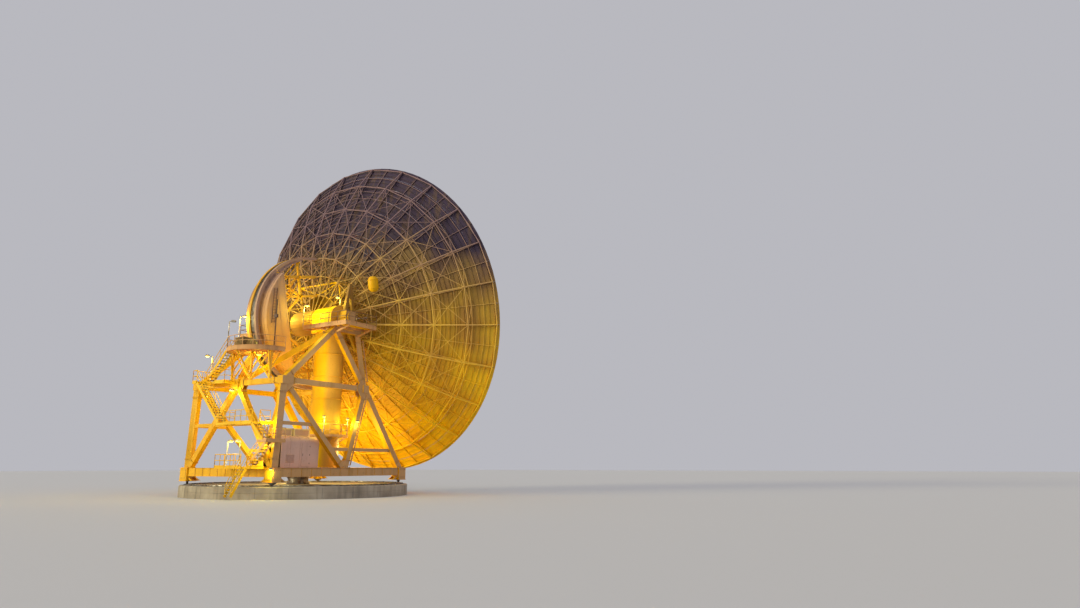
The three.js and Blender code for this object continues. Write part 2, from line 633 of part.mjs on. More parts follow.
const tubeRoom = rod([TUBE_X, 0, 0], [TUBE_X, 0, TUBE_TOP], TUBE_R + SEAT, TUBE_SIDES, [0, 1, 0]);
alidade.add(piece('tube_walkway', walkway.translate([TUBE_X, 0, 0]).subtract(tubeRoom), DECKING));

// The reflector and all that tips with it are made along local axes: X to the right,
// Y along the boresight and Z up across it, with the origin on the elevation axis.
const dish = (radius) => VERTEX + (radius * radius) / (4 * FOCAL);
const STATIONS = [EYE_R, ...RING_R, RIM_R];
const panelBacks = STATIONS.map((radius) => [radius, dish(radius) - SHELL]);
const panelFaces = STATIONS.map((radius) => [radius, dish(radius)]).reverse();
const shell = toSolid(turned([...panelBacks, ...panelFaces, panelBacks[0]], ROUND_STEPS));
const QUARTERS = {
  upper_right: [1, 1],
  upper_left: [-1, 1],
  lower_left: [-1, -1],
  lower_right: [1, -1],
};
function quarterBox(sx, sz) {
  const span = (sign) => (sign > 0 ? [SEAT / 2, FAR] : [-FAR, -SEAT / 2]);
  const [x0, x1] = span(sx);
  const [z0, z1] = span(sz);
  return block([x0, -FAR, z0], [x1, FAR, z1]);
}
const around = (radius, along, turn) => [radius * Math.cos(turn), along, radius * Math.sin(turn)];
const ribTurn = (rib) => ((rib + 0.5) * FULL_TURN) / RIBS;
const chordLine = RING_R.map((radius, i) => [radius, dish(radius) - RING_DEPTH[i]]);
chordLine.push([RIM_RING_R, dish(RIM_RING_R) - RIM_RING_DEPTH]);
const panelLine = RING_R.map((radius) => [radius, dish(radius) - SHELL - CHORD / 2 - SEAT]);

// How far along the boresight a line of [radius, along] points is at a radius
function lineAt(line, radius) {
  const next = Math.max(1, line.findIndex(([reach]) => reach >= radius));
  const [from, to] = [line[next - 1], line[next]];
  return from[1] + ((to[1] - from[1]) * (radius - from[0])) / (to[0] - from[0]);
}

// One rib: a flat truss with a chord behind the panels, a rear chord and a post at every hoop
const outline2d = (points) => points.map(([radius, along]) => new THREE.Vector2(radius, along));
function ribSolid(turn) {
  const half = CHORD / 2;
  const fromHub = ([radius, along]) => [Math.max(radius, RING_R[0] + SEAT), along];
  const shifted = (line, by) => line.map(([radius, along]) => [radius, along + by]).map(fromHub);
  const rearSide = shifted(chordLine, -half);
  const panelSide = shifted([...panelLine, chordLine[chordLine.length - 1]], half);
  const rib = new THREE.Shape(outline2d([...rearSide, ...panelSide.reverse()]));
  for (let bay = 1; bay < RING_R.length; bay += 1) {
    const inner = RING_R[bay - 1] + POST / 2;
    const outer = RING_R[bay] - POST / 2;
    rib.holes.push(new THREE.Path(outline2d([
      [inner, lineAt(chordLine, inner) + half],
      [outer, lineAt(chordLine, outer) + half],
      [outer, lineAt(panelLine, outer) - half],
      [inner, lineAt(panelLine, inner) - half],
    ])));
  }
  const plate = new THREE.ExtrudeGeometry(rib, { depth: RIB_W, bevelEnabled: false });
  return toSolid(plate.translate(0, 0, -RIB_W / 2).rotateY(-turn));
}

// A hoop: a ring of straight bars from rib to rib
function hoopSolid([radius, along]) {
  const half = HOOP / 2;
  const section = [
    [radius - half, along - half], [radius + half, along - half],
    [radius + half, along + half], [radius - half, along + half],
  ];
  const hoop = turned([...section, section[0]], RIBS);
  return toSolid(hoop.rotateY(FULL_TURN / RIBS / 2));
}

// The back frame of one quarter: its ribs and its share of the hoops
const hoops = chordLine.slice(1).map(hoopSolid);
function backFrame(sx, sz) {
  const ribs = [];
  for (let rib = 0; rib < RIBS; rib += 1) {
    const turn = ribTurn(rib);
    if (Math.sign(Math.cos(turn)) === sx && Math.sign(Math.sin(turn)) === sz) {
      ribs.push(ribSolid(turn));
    }
  }
  const quarter = quarterBox(sx, sz);
  return join([...ribs, ...hoops.map((hoop) => hoop.intersect(quarter))]);
}
const behindPanels = toSolid(turned([
  [0, dish(0) - SHELL - SEAT],
  ...STATIONS.map((radius) => [radius, dish(radius) - SHELL - SEAT]),
  [RIM_R, FAR],
  [0, FAR],
], ROUND_STEPS));
const hubOuter = RING_R[0];
for (const [quarter, [sx, sz]] of Object.entries(QUARTERS)) {
  tipping.add(
    piece(`reflector_${quarter}`, shell.intersect(quarterBox(sx, sz)), PAINT),
    piece(`back_frame_${quarter}`, backFrame(sx, sz), PAINT),
  );
}

// Hub: the deep ring at the middle of the back frame
const HUB = { rear: 1500, wall: 160, spoke: 200, spokeAlong: 1700 };
const MIRROR_DRUM = { radius: 1250, half: 1340 };
const hubRing = [
  [hubOuter - HUB.wall, HUB.rear], [hubOuter, HUB.rear], [hubOuter, FAR], [hubOuter - HUB.wall, FAR],
];
const diagonals = [1, 3, 5, 7].map((eighth) => (eighth * FULL_TURN) / 8);
const hubSpokes = diagonals.map((turn) => bar(
  around(BEAM_TUBE_R / 2, HUB.spokeAlong, turn),
  around(hubOuter - HUB.wall / 2, HUB.spokeAlong, turn),
  HUB.spoke,
));
const beamTube = rod([0, 0, 0], [0, BEAM_TUBE_END, 0], BEAM_TUBE_R, TUBE_SIDES, [1, 0, 0]);
const drumEnds = [[-MIRROR_DRUM.half, 0, 0], [MIRROR_DRUM.half, 0, 0]];
const mirrorDrum = rod(...drumEnds, MIRROR_DRUM.radius, TUBE_SIDES, [0, 0, -1]);
const hubWall = toSolid(turned([...hubRing, hubRing[0]], ROUND_STEPS));
const hubSolid = join([hubWall, ...hubSpokes, beamTube, mirrorDrum]);
tipping.add(piece('reflector_hub', hubSolid.subtract(behindPanels), PAINT));

// Feed shroud: a short cone at the centre of the reflector, on the hub's beam tube
const shroud = [
  [0, BEAM_TUBE_END + SEAT], [BEAM_TUBE_R, BEAM_TUBE_END + SEAT],
  [BEAM_TUBE_R - SHROUD.taper, SHROUD.end], [0, SHROUD.end],
];
tipping.add(piece('feed_shroud', toSolid(turned(shroud, TUBE_SIDES)), PAINT));

// Side frames: triangles from each bearing shaft to the back frame
const FRAME = { x: 4850, thick: 300, up: 3300, overrun: 150, disc: 520, shaftGap: 50 };
const frameSeatR = (FRAME.x - (FRAME.thick + RIB_W * Math.sin(ribTurn(0))) / 2) / Math.cos(ribTurn(0));
const frameFront = lineAt(chordLine, frameSeatR) - CHORD / 2 - SEAT;
const frameAlong = frameFront - FRAME.thick / 2;
for (const [side, sx] of Object.entries(SIDES)) {
  const x = sx * FRAME.x;
  const pivot = [x, 0, 0];
  const half = FRAME.thick / 2;
  const spine = (up) => [x, frameAlong, up];
  const spineEnd = FRAME.up + FRAME.overrun;
  const shaft = rod(pivot, [sx * (BEARING.outer - FRAME.shaftGap), 0, 0], SHAFT_R, PIVOT_SIDES, [0, 0, -1]);
  const hubDisc = rod([x - half, 0, 0], [x + half, 0, 0], FRAME.disc, SHAFT_SIDES, [0, 0, -1]);
  const frame = join([
    bar(pivot, spine(FRAME.up), FRAME.thick, FRAME.thick, 0, [0, 1, 0]),
    bar(pivot, spine(-FRAME.up), FRAME.thick, FRAME.thick, 0, [0, 1, 0]),
    bar(spine(-spineEnd), spine(spineEnd), FRAME.thick, FRAME.thick, 0, [0, 1, 0]),
    bar(pivot, spine(0), FRAME.thick),
    hubDisc,
    shaft,
  ]);
  tipping.add(piece(`side_frame_${side}`, frame, PAINT));
}

// Elevation wheel: a half rim with the gear rack sunk between two flanges, a plated segment at its
// rear and an open web of bars in front of that
const rackR = GEAR_R - RACK_DEPTH;
const rackEdges = [gearX - RACK_W / 2, gearX + RACK_W / 2];
const gearOutline = [
  [GEAR_BORE, GEAR.left], [GEAR_R, GEAR.left], [GEAR_R, rackEdges[0]], [rackR, rackEdges[0]],
  [rackR, rackEdges[1]], [GEAR_R, rackEdges[1]], [GEAR_R, GEAR.right], [GEAR_BORE, GEAR.right],
];
const gearRing = turned([...gearOutline, gearOutline[0]], GEAR.steps).rotateZ(-Math.PI / 2);
const gearCut = block([-FAR, GEAR.cut, -FAR], [FAR, FAR, FAR]);
const segmentOutline = [
  [0, GEAR.left], [GEAR_BORE + 50, GEAR.left], [GEAR_BORE + 50, GEAR.right], [0, GEAR.right],
];
const beforeChord = block([-FAR, GEAR.chord, -FAR], [FAR, FAR, FAR]);
const segment = toSolid(turned(segmentOutline, GEAR.steps).rotateZ(-Math.PI / 2)).subtract(beforeChord);
const hoopUp = [chordLine[1], chordLine[2]].map(([radius]) => radius * Math.cos(Math.PI / RIBS));
const hubUp = hubOuter - HUB.wall / 2;
const WEB = { arm: 260, bar: 200, root: GEAR.chord - 150, post: -600, rimRoot: -400, centre: 350 };
const webBar = (rear, front, width = WEB.bar) => [1, -1].map((end) => (
  bar([gearX, rear[0], end * rear[1]], [gearX, front[0], end * front[1]], width, width, 0, [1, 0, 0])
));
const web = [
  webBar([WEB.root, hoopUp[0]], [chordLine[1][1] - HOOP / 2 - SEAT, hoopUp[0]], WEB.arm),
  webBar([WEB.rimRoot, hoopUp[1]], [chordLine[2][1] - HOOP / 2 - SEAT, hoopUp[1]], WEB.arm),
  webBar([WEB.root, hubUp], [HUB.rear - SEAT, hubUp]),
  webBar([WEB.post, hubUp], [WEB.post, GEAR_BORE + 100]),
  webBar([WEB.root, hoopUp[0]], [WEB.post, hubUp]),
  webBar([WEB.root, hubUp], [WEB.post, hoopUp[0]]),
  webBar([WEB.root, WEB.centre], [WEB.post, hubUp]),
].flat();
const gear = toSolid(gearRing).subtract(gearCut);
tipping.add(piece('elevation_wheel', join([gear, segment, ...web]), PAINT));

// Counterweights: a round-backed segment on each face of the wheel
for (const [side, sx] of Object.entries(SIDES)) {
  const faceX = sx > 0 ? GEAR.right + SEAT : GEAR.left - SEAT;
  const x0 = Math.min(faceX, faceX + sx * WEIGHT.thick);
  const x1 = x0 + WEIGHT.thick;
  const drum = turned([[0, x0], [WEIGHT.radius, x0], [WEIGHT.radius, x1], [0, x1]], GEAR.steps);
  const ballast = toSolid(drum.rotateZ(-Math.PI / 2)).subtract(beforeChord);
  tipping.add(piece(`counterweight_${side}`, ballast, PAINT));
}

// Quadripod and subreflector
const QUAD = { foot: 8600, ring: 1750, along: 12900, leg: 260, crown: 300, low: 150, high: 250 };
const quadLegs = diagonals.map((turn) => {
  const foot = around(QUAD.foot, dish(QUAD.foot) - QUAD.leg, turn);
  return bar(foot, around(QUAD.ring, QUAD.along, turn), QUAD.leg, QUAD.leg, 0, [0, 1, 0]);
});
const crownIn = QUAD.ring - QUAD.crown / 2;
const crownOut = QUAD.ring + QUAD.crown / 2;
const crownLow = QUAD.along - QUAD.low;
const crownHigh = QUAD.along + QUAD.high;
const crown = [[crownIn, crownLow], [crownOut, crownLow], [crownOut, crownHigh], [crownIn, crownHigh]];
const beforePanels = toSolid(turned([
  [0, -FAR],
  [RIM_R, -FAR],
  ...STATIONS.map((radius) => [radius, dish(radius) + SEAT]).reverse(),
  [0, dish(0) + SEAT],
], ROUND_STEPS));
const quadripod = join([...quadLegs, toSolid(turned([...crown, crown[0]], TUBE_SIDES))]);
tipping.add(piece('quadripod', quadripod.subtract(beforePanels), PAINT));
const SUB = { radius: 1720, edge: 12450, bulge: 560, lip: 60, lap: 50 };
const subBack = crownLow - SEAT;
const subFace = [0, 0.5, 1].map((share) => [SUB.radius * share, SUB.edge - SUB.bulge * (1 - share * share)]);
const subreflector = [
  ...subFace, [SUB.radius, SUB.edge + SUB.lip], [crownIn + SUB.lap, subBack], [0, subBack],
];
tipping.add(piece('subreflector', toSolid(turned(subreflector, TUBE_SIDES)), PAINT));

const object = new THREE.Group();
object.add(foundation, alidade, tipping);

export default object;
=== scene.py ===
import math

import bpy
import numpy as np
from mathutils import Matrix, Vector


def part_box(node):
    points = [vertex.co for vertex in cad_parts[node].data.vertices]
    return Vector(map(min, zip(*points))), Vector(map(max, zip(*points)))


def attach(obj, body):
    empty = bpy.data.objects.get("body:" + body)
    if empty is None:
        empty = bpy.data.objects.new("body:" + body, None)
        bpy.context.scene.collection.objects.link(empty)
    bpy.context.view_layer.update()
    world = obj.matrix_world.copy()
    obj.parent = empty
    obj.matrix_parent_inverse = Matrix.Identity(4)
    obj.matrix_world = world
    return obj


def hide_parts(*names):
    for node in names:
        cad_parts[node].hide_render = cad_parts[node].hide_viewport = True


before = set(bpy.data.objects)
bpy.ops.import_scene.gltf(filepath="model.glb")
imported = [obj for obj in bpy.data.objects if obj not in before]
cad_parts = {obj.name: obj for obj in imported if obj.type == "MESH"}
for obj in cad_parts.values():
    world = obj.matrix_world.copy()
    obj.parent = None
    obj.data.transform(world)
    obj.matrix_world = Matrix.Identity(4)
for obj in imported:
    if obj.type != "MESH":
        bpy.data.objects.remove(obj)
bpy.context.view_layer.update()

# Camera
# It stands where the photograph was taken, at eye height, behind the dish and to its right.
camera_data = bpy.data.cameras.new("camera")
camera_data.lens = 24.54
camera_data.sensor_width = 36
camera_data.clip_end = 2000
camera = bpy.data.objects.new("camera", camera_data)
camera.location = (58.41, -51.12, 2.77)
CAMERA_TILT = math.radians(12.41)
CAMERA_TURN = math.radians(31.085)
camera.rotation_euler = (math.pi / 2 + CAMERA_TILT, 0, CAMERA_TURN)
bpy.context.scene.collection.objects.link(camera)
bpy.context.scene.camera = camera


# Foundation
# A round drum of board-marked concrete carries a ring of grout, the steel track and the centre
# pintle. The track is held by clips with a bolt each, on both sides of the rail.
class Form:
    """The corners and faces of one piece, before it becomes a mesh."""

    def __init__(self):
        self.corners = []
        self.faces = []
        self.finishes = []
        self.count = 0

    def add(self, corners, faces, finish=0):
        self.corners.append(np.asarray(corners, float).reshape(-1, 3))
        self.faces.extend(tuple(i + self.count for i in face) for face in faces)
        self.finishes.extend([finish] * len(faces))
        self.count += len(corners)

    def bar(self, start, end, width, depth=None, up=(0, 0, 1), finish=0):
        """A straight bar with a rectangular section; its depth lies towards up."""
        start, end = np.array(start, float), np.array(end, float)
        along = end - start
        along /= np.linalg.norm(along)
        side = np.cross(up, along)
        if np.linalg.norm(side) < 1e-6:
            side = np.cross((0, 1, 0), along)
        side /= np.linalg.norm(side)
        top = np.cross(along, side)
        half_side, half_top = side * width / 2, top * (depth or width) / 2
        ring = [-half_side - half_top, half_side - half_top, half_side + half_top, half_top - half_side]
        self.add([end_point + offset for end_point in (start, end) for offset in ring], self.BOX, finish)

    BOX = [(0, 3, 2, 1), (4, 5, 6, 7), (0, 1, 5, 4), (1, 2, 6, 5), (2, 3, 7, 6), (3, 0, 4, 7)]

    def block(self, low, high, finish=0):
        (x0, y0, z0), (x1, y1, z1) = low, high
        lower = [(x0, y0, z0), (x1, y0, z0), (x1, y1, z0), (x0, y1, z0)]
        upper = [(x, y, z1) for x, y, _ in lower]
        self.add(lower + upper, self.BOX, finish)

    def joined(self, first, second, finish=0):
        """A solid between two like rings of corners, which run anticlockwise seen from beyond the second."""
        count = len(first)
        faces = [tuple(range(count - 1, -1, -1)), tuple(range(count, 2 * count))]
        faces += [(k, (k + 1) % count, count + (k + 1) % count, count + k) for k in range(count)]
        self.add(np.concatenate([first, second]), faces, finish)

    def pipe(self, start, end, radius, sides=8, finish=0):
        """A round bar with so many flat sides."""
        start, end = np.array(start, float), np.array(end, float)
        along = (end - start) / np.linalg.norm(end - start)
        side = np.cross((0, 0, 1) if abs(along[2]) < 0.9 else (1, 0, 0), along)
        side /= np.linalg.norm(side)
        top = np.cross(along, side)
        turns = np.arange(sides) * (2 * math.pi / sides)
        ring = np.outer(np.cos(turns), side) + np.outer(np.sin(turns), top)
        self.joined(start + ring * radius, end + ring * radius, finish)

    def turned(self, outline, steps, axis="Z", sweep=(0, 360), finish=0):
        """Turns a closed outline of (radius, level) corners, anticlockwise, about an axis."""
        first, last = (math.radians(turn) for turn in sweep)
        whole = abs(last - first - 2 * math.pi) < 1e-6
        count = steps if whole else steps + 1
        turns = first + (last - first) * np.arange(count) / steps
        corners = []
        index = np.empty((count, len(outline)), int)
        for k, (radius, level) in enumerate(outline):
            on_axis = radius < 1e-9
            index[:, k] = len(corners) + (0 if on_axis else np.arange(count))
            for turn in turns[:1] if on_axis else turns:
                corners.append((radius * math.cos(turn), radius * math.sin(turn), level))
        corners = np.roll(np.array(corners), {"Z": 0, "X": 1, "Y": 2}[axis], axis=1)
        faces = []
        for i in range(steps):
            here, there = index[i], index[(i + 1) % count]
            for k in range(len(outline)):
                after = (k + 1) % len(outline)
                face = dict.fromkeys((here[k], there[k], there[after], here[after]))
                if len(face) > 2:
                    faces.append(tuple(face))
        if not whole:
            faces.append(tuple(index[0]))
            faces.append(tuple(index[-1][::-1]))
        self.add(corners, faces, finish)

    def slab(self, plan, low, high, finish=0):
        """A plate of even thickness with an upright edge; its plan runs anticlockwise."""
        self.joined([(x, y, low) for x, y in plan], [(x, y, high) for x, y in plan], finish)

    def plate(self, corners, thickness):
        """A flat plate with the given corners, half its thickness on each side of them."""
        corners = np.array(corners, float)
        normal = np.cross(corners[1] - corners[0], corners[2] - corners[1])
        normal *= thickness / 2 / np.linalg.norm(normal)
        self.joined(corners - normal, corners + normal)


CREASE = math.radians(35)       # an edge that turns further than this is shaded sharp


def make_piece(name, form, body, finishes, stands_for=(), place=None):
    """Turns a form into an object that rides on a body."""
    mesh = bpy.data.meshes.new(name)
    mesh.from_pydata(np.concatenate(form.corners).tolist(), [], form.faces)
    mesh.polygons.foreach_set("material_index", form.finishes)
    if place is not None:
        mesh.transform(place)
    mesh.shade_smooth()
    mesh.set_sharp_from_angle(angle=CREASE)
    for finish in finishes:
        mesh.materials.append(finish.material)
    piece = bpy.data.objects.new(name, mesh)
    bpy.context.scene.collection.objects.link(piece)
    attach(piece, body)
    if stands_for:
        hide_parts(*stands_for)


def tone(code):
    """A linear colour from the six-figure code of a paint."""
    parts = [int(code[i:i + 2], 16) / 255 for i in (1, 3, 5)]
    return (*(part / 12.92 if part <= 0.04045 else ((part + 0.055) / 1.055) ** 2.4 for part in parts), 1)


class Value:
    """An output in a finish; sums and products of values add their Math nodes."""

    def __init__(self, finish, socket):
        self.finish = finish
        self.socket = socket

    def math(self, operation, first, second):
        return self.finish.node("ShaderNodeMath", {"operation": operation}, {0: first, 1: second})

    def __add__(self, other):
        return self.math("ADD", self, other)

    def __sub__(self, other):
        return self.math("SUBTRACT", self, other)

    def __rsub__(self, other):
        return self.math("SUBTRACT", other, self)

    def __mul__(self, other):
        return self.math("MULTIPLY", self, other)

    __radd__ = __add__
    __rmul__ = __mul__


class Finish:
    """A material with a Principled surface and short calls for what varies over it."""

    def __init__(self, name, **fixed):
        self.material = bpy.data.materials.new(name)
        self.material.use_nodes = True
        self.tree = self.material.node_tree
        self.surface = self.tree.nodes["Principled BSDF"]
        for socket, value in fixed.items():
            self.surface.inputs[socket.replace("_", " ")].default_value = value

    def node(self, kind, settings=None, inputs=None, output=0):
        node = self.tree.nodes.new(kind)
        for name, value in (settings or {}).items():
            setattr(node, name, value)
        for name, value in (inputs or {}).items():
            if isinstance(value, Value):
                self.tree.links.new(value.socket, node.inputs[name])
            else:
                node.inputs[name].default_value = value
        return Value(self, node.outputs[output])

    def vary(self, socket, value):
        """Links a value or colour that changes over the surface to one of its sockets."""
        self.tree.links.new(value.socket, self.surface.inputs[socket])

    def noise(self, scale, detail=3, stretch=(1, 1, 1)):
        where = self.node("ShaderNodeTexCoord", output="Object")
        spread = self.node("ShaderNodeVectorMath", {"operation": "MULTIPLY"}, {0: where, 1: stretch})
        return self.node("ShaderNodeTexNoise", None, {"Vector": spread, "Scale": scale, "Detail": detail})

    def ramp(self, value, low, high, to_low=0, to_high=1):
        """Maps a value's stretch from low to high onto another stretch, held at its ends."""
        limits = {"From Min": low, "From Max": high, "To Min": to_low, "To Max": to_high}
        return self.node("ShaderNodeMapRange", None, {"Value": value, **limits})

    def mix(self, share, first, second):
        """Mixes two colours, which a Mix node takes at sockets 6 and 7 and gives at output 2."""
        return self.node("ShaderNodeMix", {"data_type": "RGBA"}, {0: share, 6: first, 7: second}, 2)

    def bump(self, height, strength, distance):
        size = {"Strength": strength, "Distance": distance}
        self.vary("Normal", self.node("ShaderNodeBump", None, {"Height": height, **size}))


def concrete(name, pale, dark, streak):
    """Board-marked concrete: blotches, dark runs down its sides and a grain."""
    finish = Finish(name, Metallic=0, Specular_IOR_Level=0.25)
    blotches = finish.ramp(finish.noise(0.5, 5), 0.35, 0.68)
    runs = finish.ramp(finish.noise(2.2, 4, (1, 1, 0.1)), 0.5, 0.72)
    grain = finish.noise(14, 6)
    ground = finish.mix(blotches, tone(pale), tone(dark))
    finish.vary("Base Color", finish.mix(runs * 0.55, ground, tone(streak)))
    finish.vary("Roughness", finish.ramp(grain, 0.3, 0.7, 0.78, 0.95))
    finish.bump(grain, 0.5, 0.012)
    return finish


def bare_steel(name, bright, rusty):
    """Rolled steel in random patches of bright metal and rust, with a fine grain."""
    finish = Finish(name, Metallic=0.85)
    patches = finish.ramp(finish.noise(2.4, 5), 0.42, 0.66)
    grain = finish.noise(30, 3)
    finish.vary("Base Color", finish.mix(patches, tone(bright), tone(rusty)))
    finish.vary("Roughness", finish.ramp(patches, 0, 1, 0.32, 0.75))
    finish.bump(grain, 0.25, 0.004)
    return finish


DRUM_CONCRETE = concrete("drum_concrete", "#a89c8a", "#867a6a", "#5f564b")
GROUT = concrete("grout", "#8b8378", "#6d655b", "#4f4942")
RAIL_STEEL = bare_steel("rail_steel", "#8c8781", "#5b4636")

DRUM_R, _, DRUM_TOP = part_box("foundation_drum")[1]
DRUM_STEPS = 192
DRUM_BEVEL = 0.07
LIFT_JOINT = 0.52               # height of the joint between the two pours
JOINT_HALF, JOINT_DEPTH = 0.012, 0.02
STRIP_LOW, STRIP_SIZE = 0.1, 0.05
drum = Form()
drum_outline = [
    (0, 0), (DRUM_R, 0), (DRUM_R, LIFT_JOINT - JOINT_HALF), (DRUM_R - JOINT_DEPTH, LIFT_JOINT),
    (DRUM_R, LIFT_JOINT + JOINT_HALF), (DRUM_R, DRUM_TOP - DRUM_BEVEL), (DRUM_R - DRUM_BEVEL, DRUM_TOP),
    (0, DRUM_TOP),
]
drum.turned(drum_outline, DRUM_STEPS)
for turn in np.radians(np.arange(0, 360, 15)):
    outward = np.array((math.cos(turn), math.sin(turn), 0))
    strip = outward * (DRUM_R - JOINT_DEPTH)
    drum.bar(strip + (0, 0, STRIP_LOW), strip + (0, 0, DRUM_TOP - 0.09), STRIP_SIZE, STRIP_SIZE, outward, 1)
make_piece("foundation_concrete", drum, "foundation", [DRUM_CONCRETE, GROUT], ["foundation_drum"])

BASE_X, BASE_Y = 5.85, 7.88      # where the four corner wheels stand
TRACK_R = math.hypot(BASE_X, BASE_Y)
GROUT_LOW_HALF, GROUT_TOP_HALF = 0.4, 0.36
GROUT_TOP = DRUM_TOP + 0.03
RAIL_HALF = 0.15
RAIL_EDGE = 0.012
RAIL_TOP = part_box("azimuth_track")[1].z
RAIL_PIECES = 24
RAIL_GAP_TURN = 0.03            # degrees left open at each end of a rail piece
CLIPS = 96
track = Form()
track.turned([(TRACK_R - GROUT_LOW_HALF, DRUM_TOP + 0.001), (TRACK_R + GROUT_LOW_HALF, DRUM_TOP + 0.001),
              (TRACK_R + GROUT_TOP_HALF, GROUT_TOP), (TRACK_R - GROUT_TOP_HALF, GROUT_TOP)],
             DRUM_STEPS, finish=1)
rail_outline = [
    (TRACK_R - RAIL_HALF, GROUT_TOP), (TRACK_R + RAIL_HALF, GROUT_TOP),
    (TRACK_R + RAIL_HALF, RAIL_TOP - RAIL_EDGE), (TRACK_R + RAIL_HALF - RAIL_EDGE, RAIL_TOP),
    (TRACK_R - RAIL_HALF + RAIL_EDGE, RAIL_TOP), (TRACK_R - RAIL_HALF, RAIL_TOP - RAIL_EDGE),
]
for k in range(RAIL_PIECES):
    span = 360 / RAIL_PIECES
    track.turned(rail_outline, 8, sweep=(k * span + RAIL_GAP_TURN, (k + 1) * span - RAIL_GAP_TURN))
for turn in np.radians(np.arange(CLIPS) * 360 / CLIPS):
    outward = np.array((math.cos(turn), math.sin(turn), 0))
    for side in (-1, 1):
        foot = outward * (TRACK_R + side * (RAIL_HALF + 0.07)) + (0, 0, DRUM_TOP + 0.045)
        track.bar(foot - outward * 0.09, foot + outward * 0.09, 0.12, 0.03)
        track.pipe(foot, foot + (0, 0, 0.07), 0.02, 6)
make_piece("track_rail", track, "foundation", [RAIL_STEEL, GROUT], ["azimuth_track"])

pintle_corner, pintle_far_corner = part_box("pintle_bearing")
PINTLE_R, PINTLE_LOW, PINTLE_TOP = pintle_far_corner.x, pintle_corner.z, pintle_far_corner.z
PINTLE_NECK_R, PINTLE_HEAD_R = PINTLE_R - 0.14, PINTLE_R - 0.05
pintle = Form()
pintle.turned([(0, PINTLE_LOW), (PINTLE_R, PINTLE_LOW), (PINTLE_R, PINTLE_LOW + 0.08),
               (PINTLE_NECK_R, PINTLE_LOW + 0.1), (PINTLE_NECK_R, PINTLE_TOP - 0.16),
               (PINTLE_HEAD_R, PINTLE_TOP - 0.14), (PINTLE_HEAD_R, PINTLE_TOP), (0, PINTLE_TOP)], 64)
for turn in np.radians(np.arange(0, 360, 15)):
    outward = np.array((math.cos(turn), math.sin(turn), 0))
    foot = outward * (PINTLE_R - 0.07) + (0, 0, PINTLE_LOW + 0.07)
    pintle.pipe(foot, foot + (0, 0, 0.08), 0.028, 6)
make_piece("pintle_housing", pintle, "foundation", [RAIL_STEEL], ["pintle_bearing"])

# Wheels
# Each corner stands on a forged steel wheel with a hardened tread, on an axle that points at the
# middle of the track, with a hub boss and lightening pockets on both faces.
AXLE_R, AXLE_HALF = 0.085, 0.38
WHEEL_R, WHEEL_HALF = 0.45, 0.09
HUB_BOSS_R, TYRE_R = 0.19, 0.37  # the pocket lies between the hub boss and the tyre
wheel_face = [
    (0, AXLE_HALF), (AXLE_R, AXLE_HALF), (AXLE_R, WHEEL_HALF), (HUB_BOSS_R, WHEEL_HALF),
    (HUB_BOSS_R + 0.01, 0.06), (TYRE_R - 0.03, 0.05), (TYRE_R, WHEEL_HALF), (WHEEL_R - 0.01, WHEEL_HALF),
    (WHEEL_R, WHEEL_HALF - 0.01),
]
for end, y in (("rear", -BASE_Y), ("front", BASE_Y)):
    for side, x in (("left", -BASE_X), ("right", BASE_X)):
        wheel = Form()
        wheel.turned([(radius, -level) for radius, level in wheel_face] + wheel_face[::-1], 48)
        outward = Vector((x, y, 0)).normalized()
        low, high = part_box(f"wheel_{end}_{side}")
        middle = Vector((x, y, (low.z + high.z) / 2))
        place = Matrix.Translation(middle) @ outward.to_track_quat("Z", "Y").to_matrix().to_4x4()
        make_piece(f"track_wheel_{end}_{side}", wheel, f"{end}_{side}_wheel", [RAIL_STEEL],
                   [f"wheel_{end}_{side}"], place)

# Base frame
# Four welded box beams join the corner housings over the wheels, and a cross beam sits on the
# pintle. Flange plates and upright stiffeners are welded to the beams, and bearing caps are bolted on.
RUST = "#6b4223"


def painted(name, colour, shade, dirt, wear=0.5, shade_aloft=None, right_face_shade=None):
    """Weathered paint on steel: clouds in the tone, dark runs down upright faces and specks of rust.

    A tone given as aloft is painted shade that takes over from a low level to a high one, darker high up
    where the lamps below light less; one given as outside is painted shade on the faces that look to the
    right."""
    finish = Finish(name, Metallic=0, Specular_IOR_Level=0.2)
    clouds = finish.ramp(finish.noise(0.3, 4), 0.36, 0.64)
    runs = finish.ramp(finish.noise(1.7, 5, (1, 1, 0.06)), 0.5, 0.74)
    specks = finish.ramp(finish.noise(7, 7), 0.63, 0.7)
    ground = finish.mix(clouds, tone(colour), tone(shade))
    # painted shade: a darker tone takes over higher up, away from the lamps below
    if shade_aloft:
        shade_tone, low, high = shade_aloft
        where = finish.node("ShaderNodeTexCoord", output="Object")
        level = finish.node("ShaderNodeSeparateXYZ", None, {0: where}, 2)
        ground = finish.mix(finish.ramp(level + clouds * 3, low, high), ground, tone(shade_tone))
    # painted shade on the faces that look to the right
    if right_face_shade:
        facing = finish.node("ShaderNodeTexCoord", output="Normal")
        toward = finish.node("ShaderNodeSeparateXYZ", None, {0: facing}, 0)
        ground = finish.mix(finish.ramp(toward, 0.55, 0.8), ground, tone(right_face_shade))
    soiled = finish.mix(runs * wear, ground, tone(dirt))
    finish.vary("Base Color", finish.mix(specks * wear, soiled, tone(RUST)))
    finish.vary("Roughness", finish.ramp(clouds + runs, 0, 1.4, 0.42, 0.68))
    finish.bump(finish.noise(22, 3) + specks * 0.6, 0.25, 0.006)
    return finish


def dress(finish, *names):
    """Gives CAD nodes a finish and leaves their shape."""
    for name in names:
        for material_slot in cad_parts[name].material_slots:
            material_slot.material = finish.material


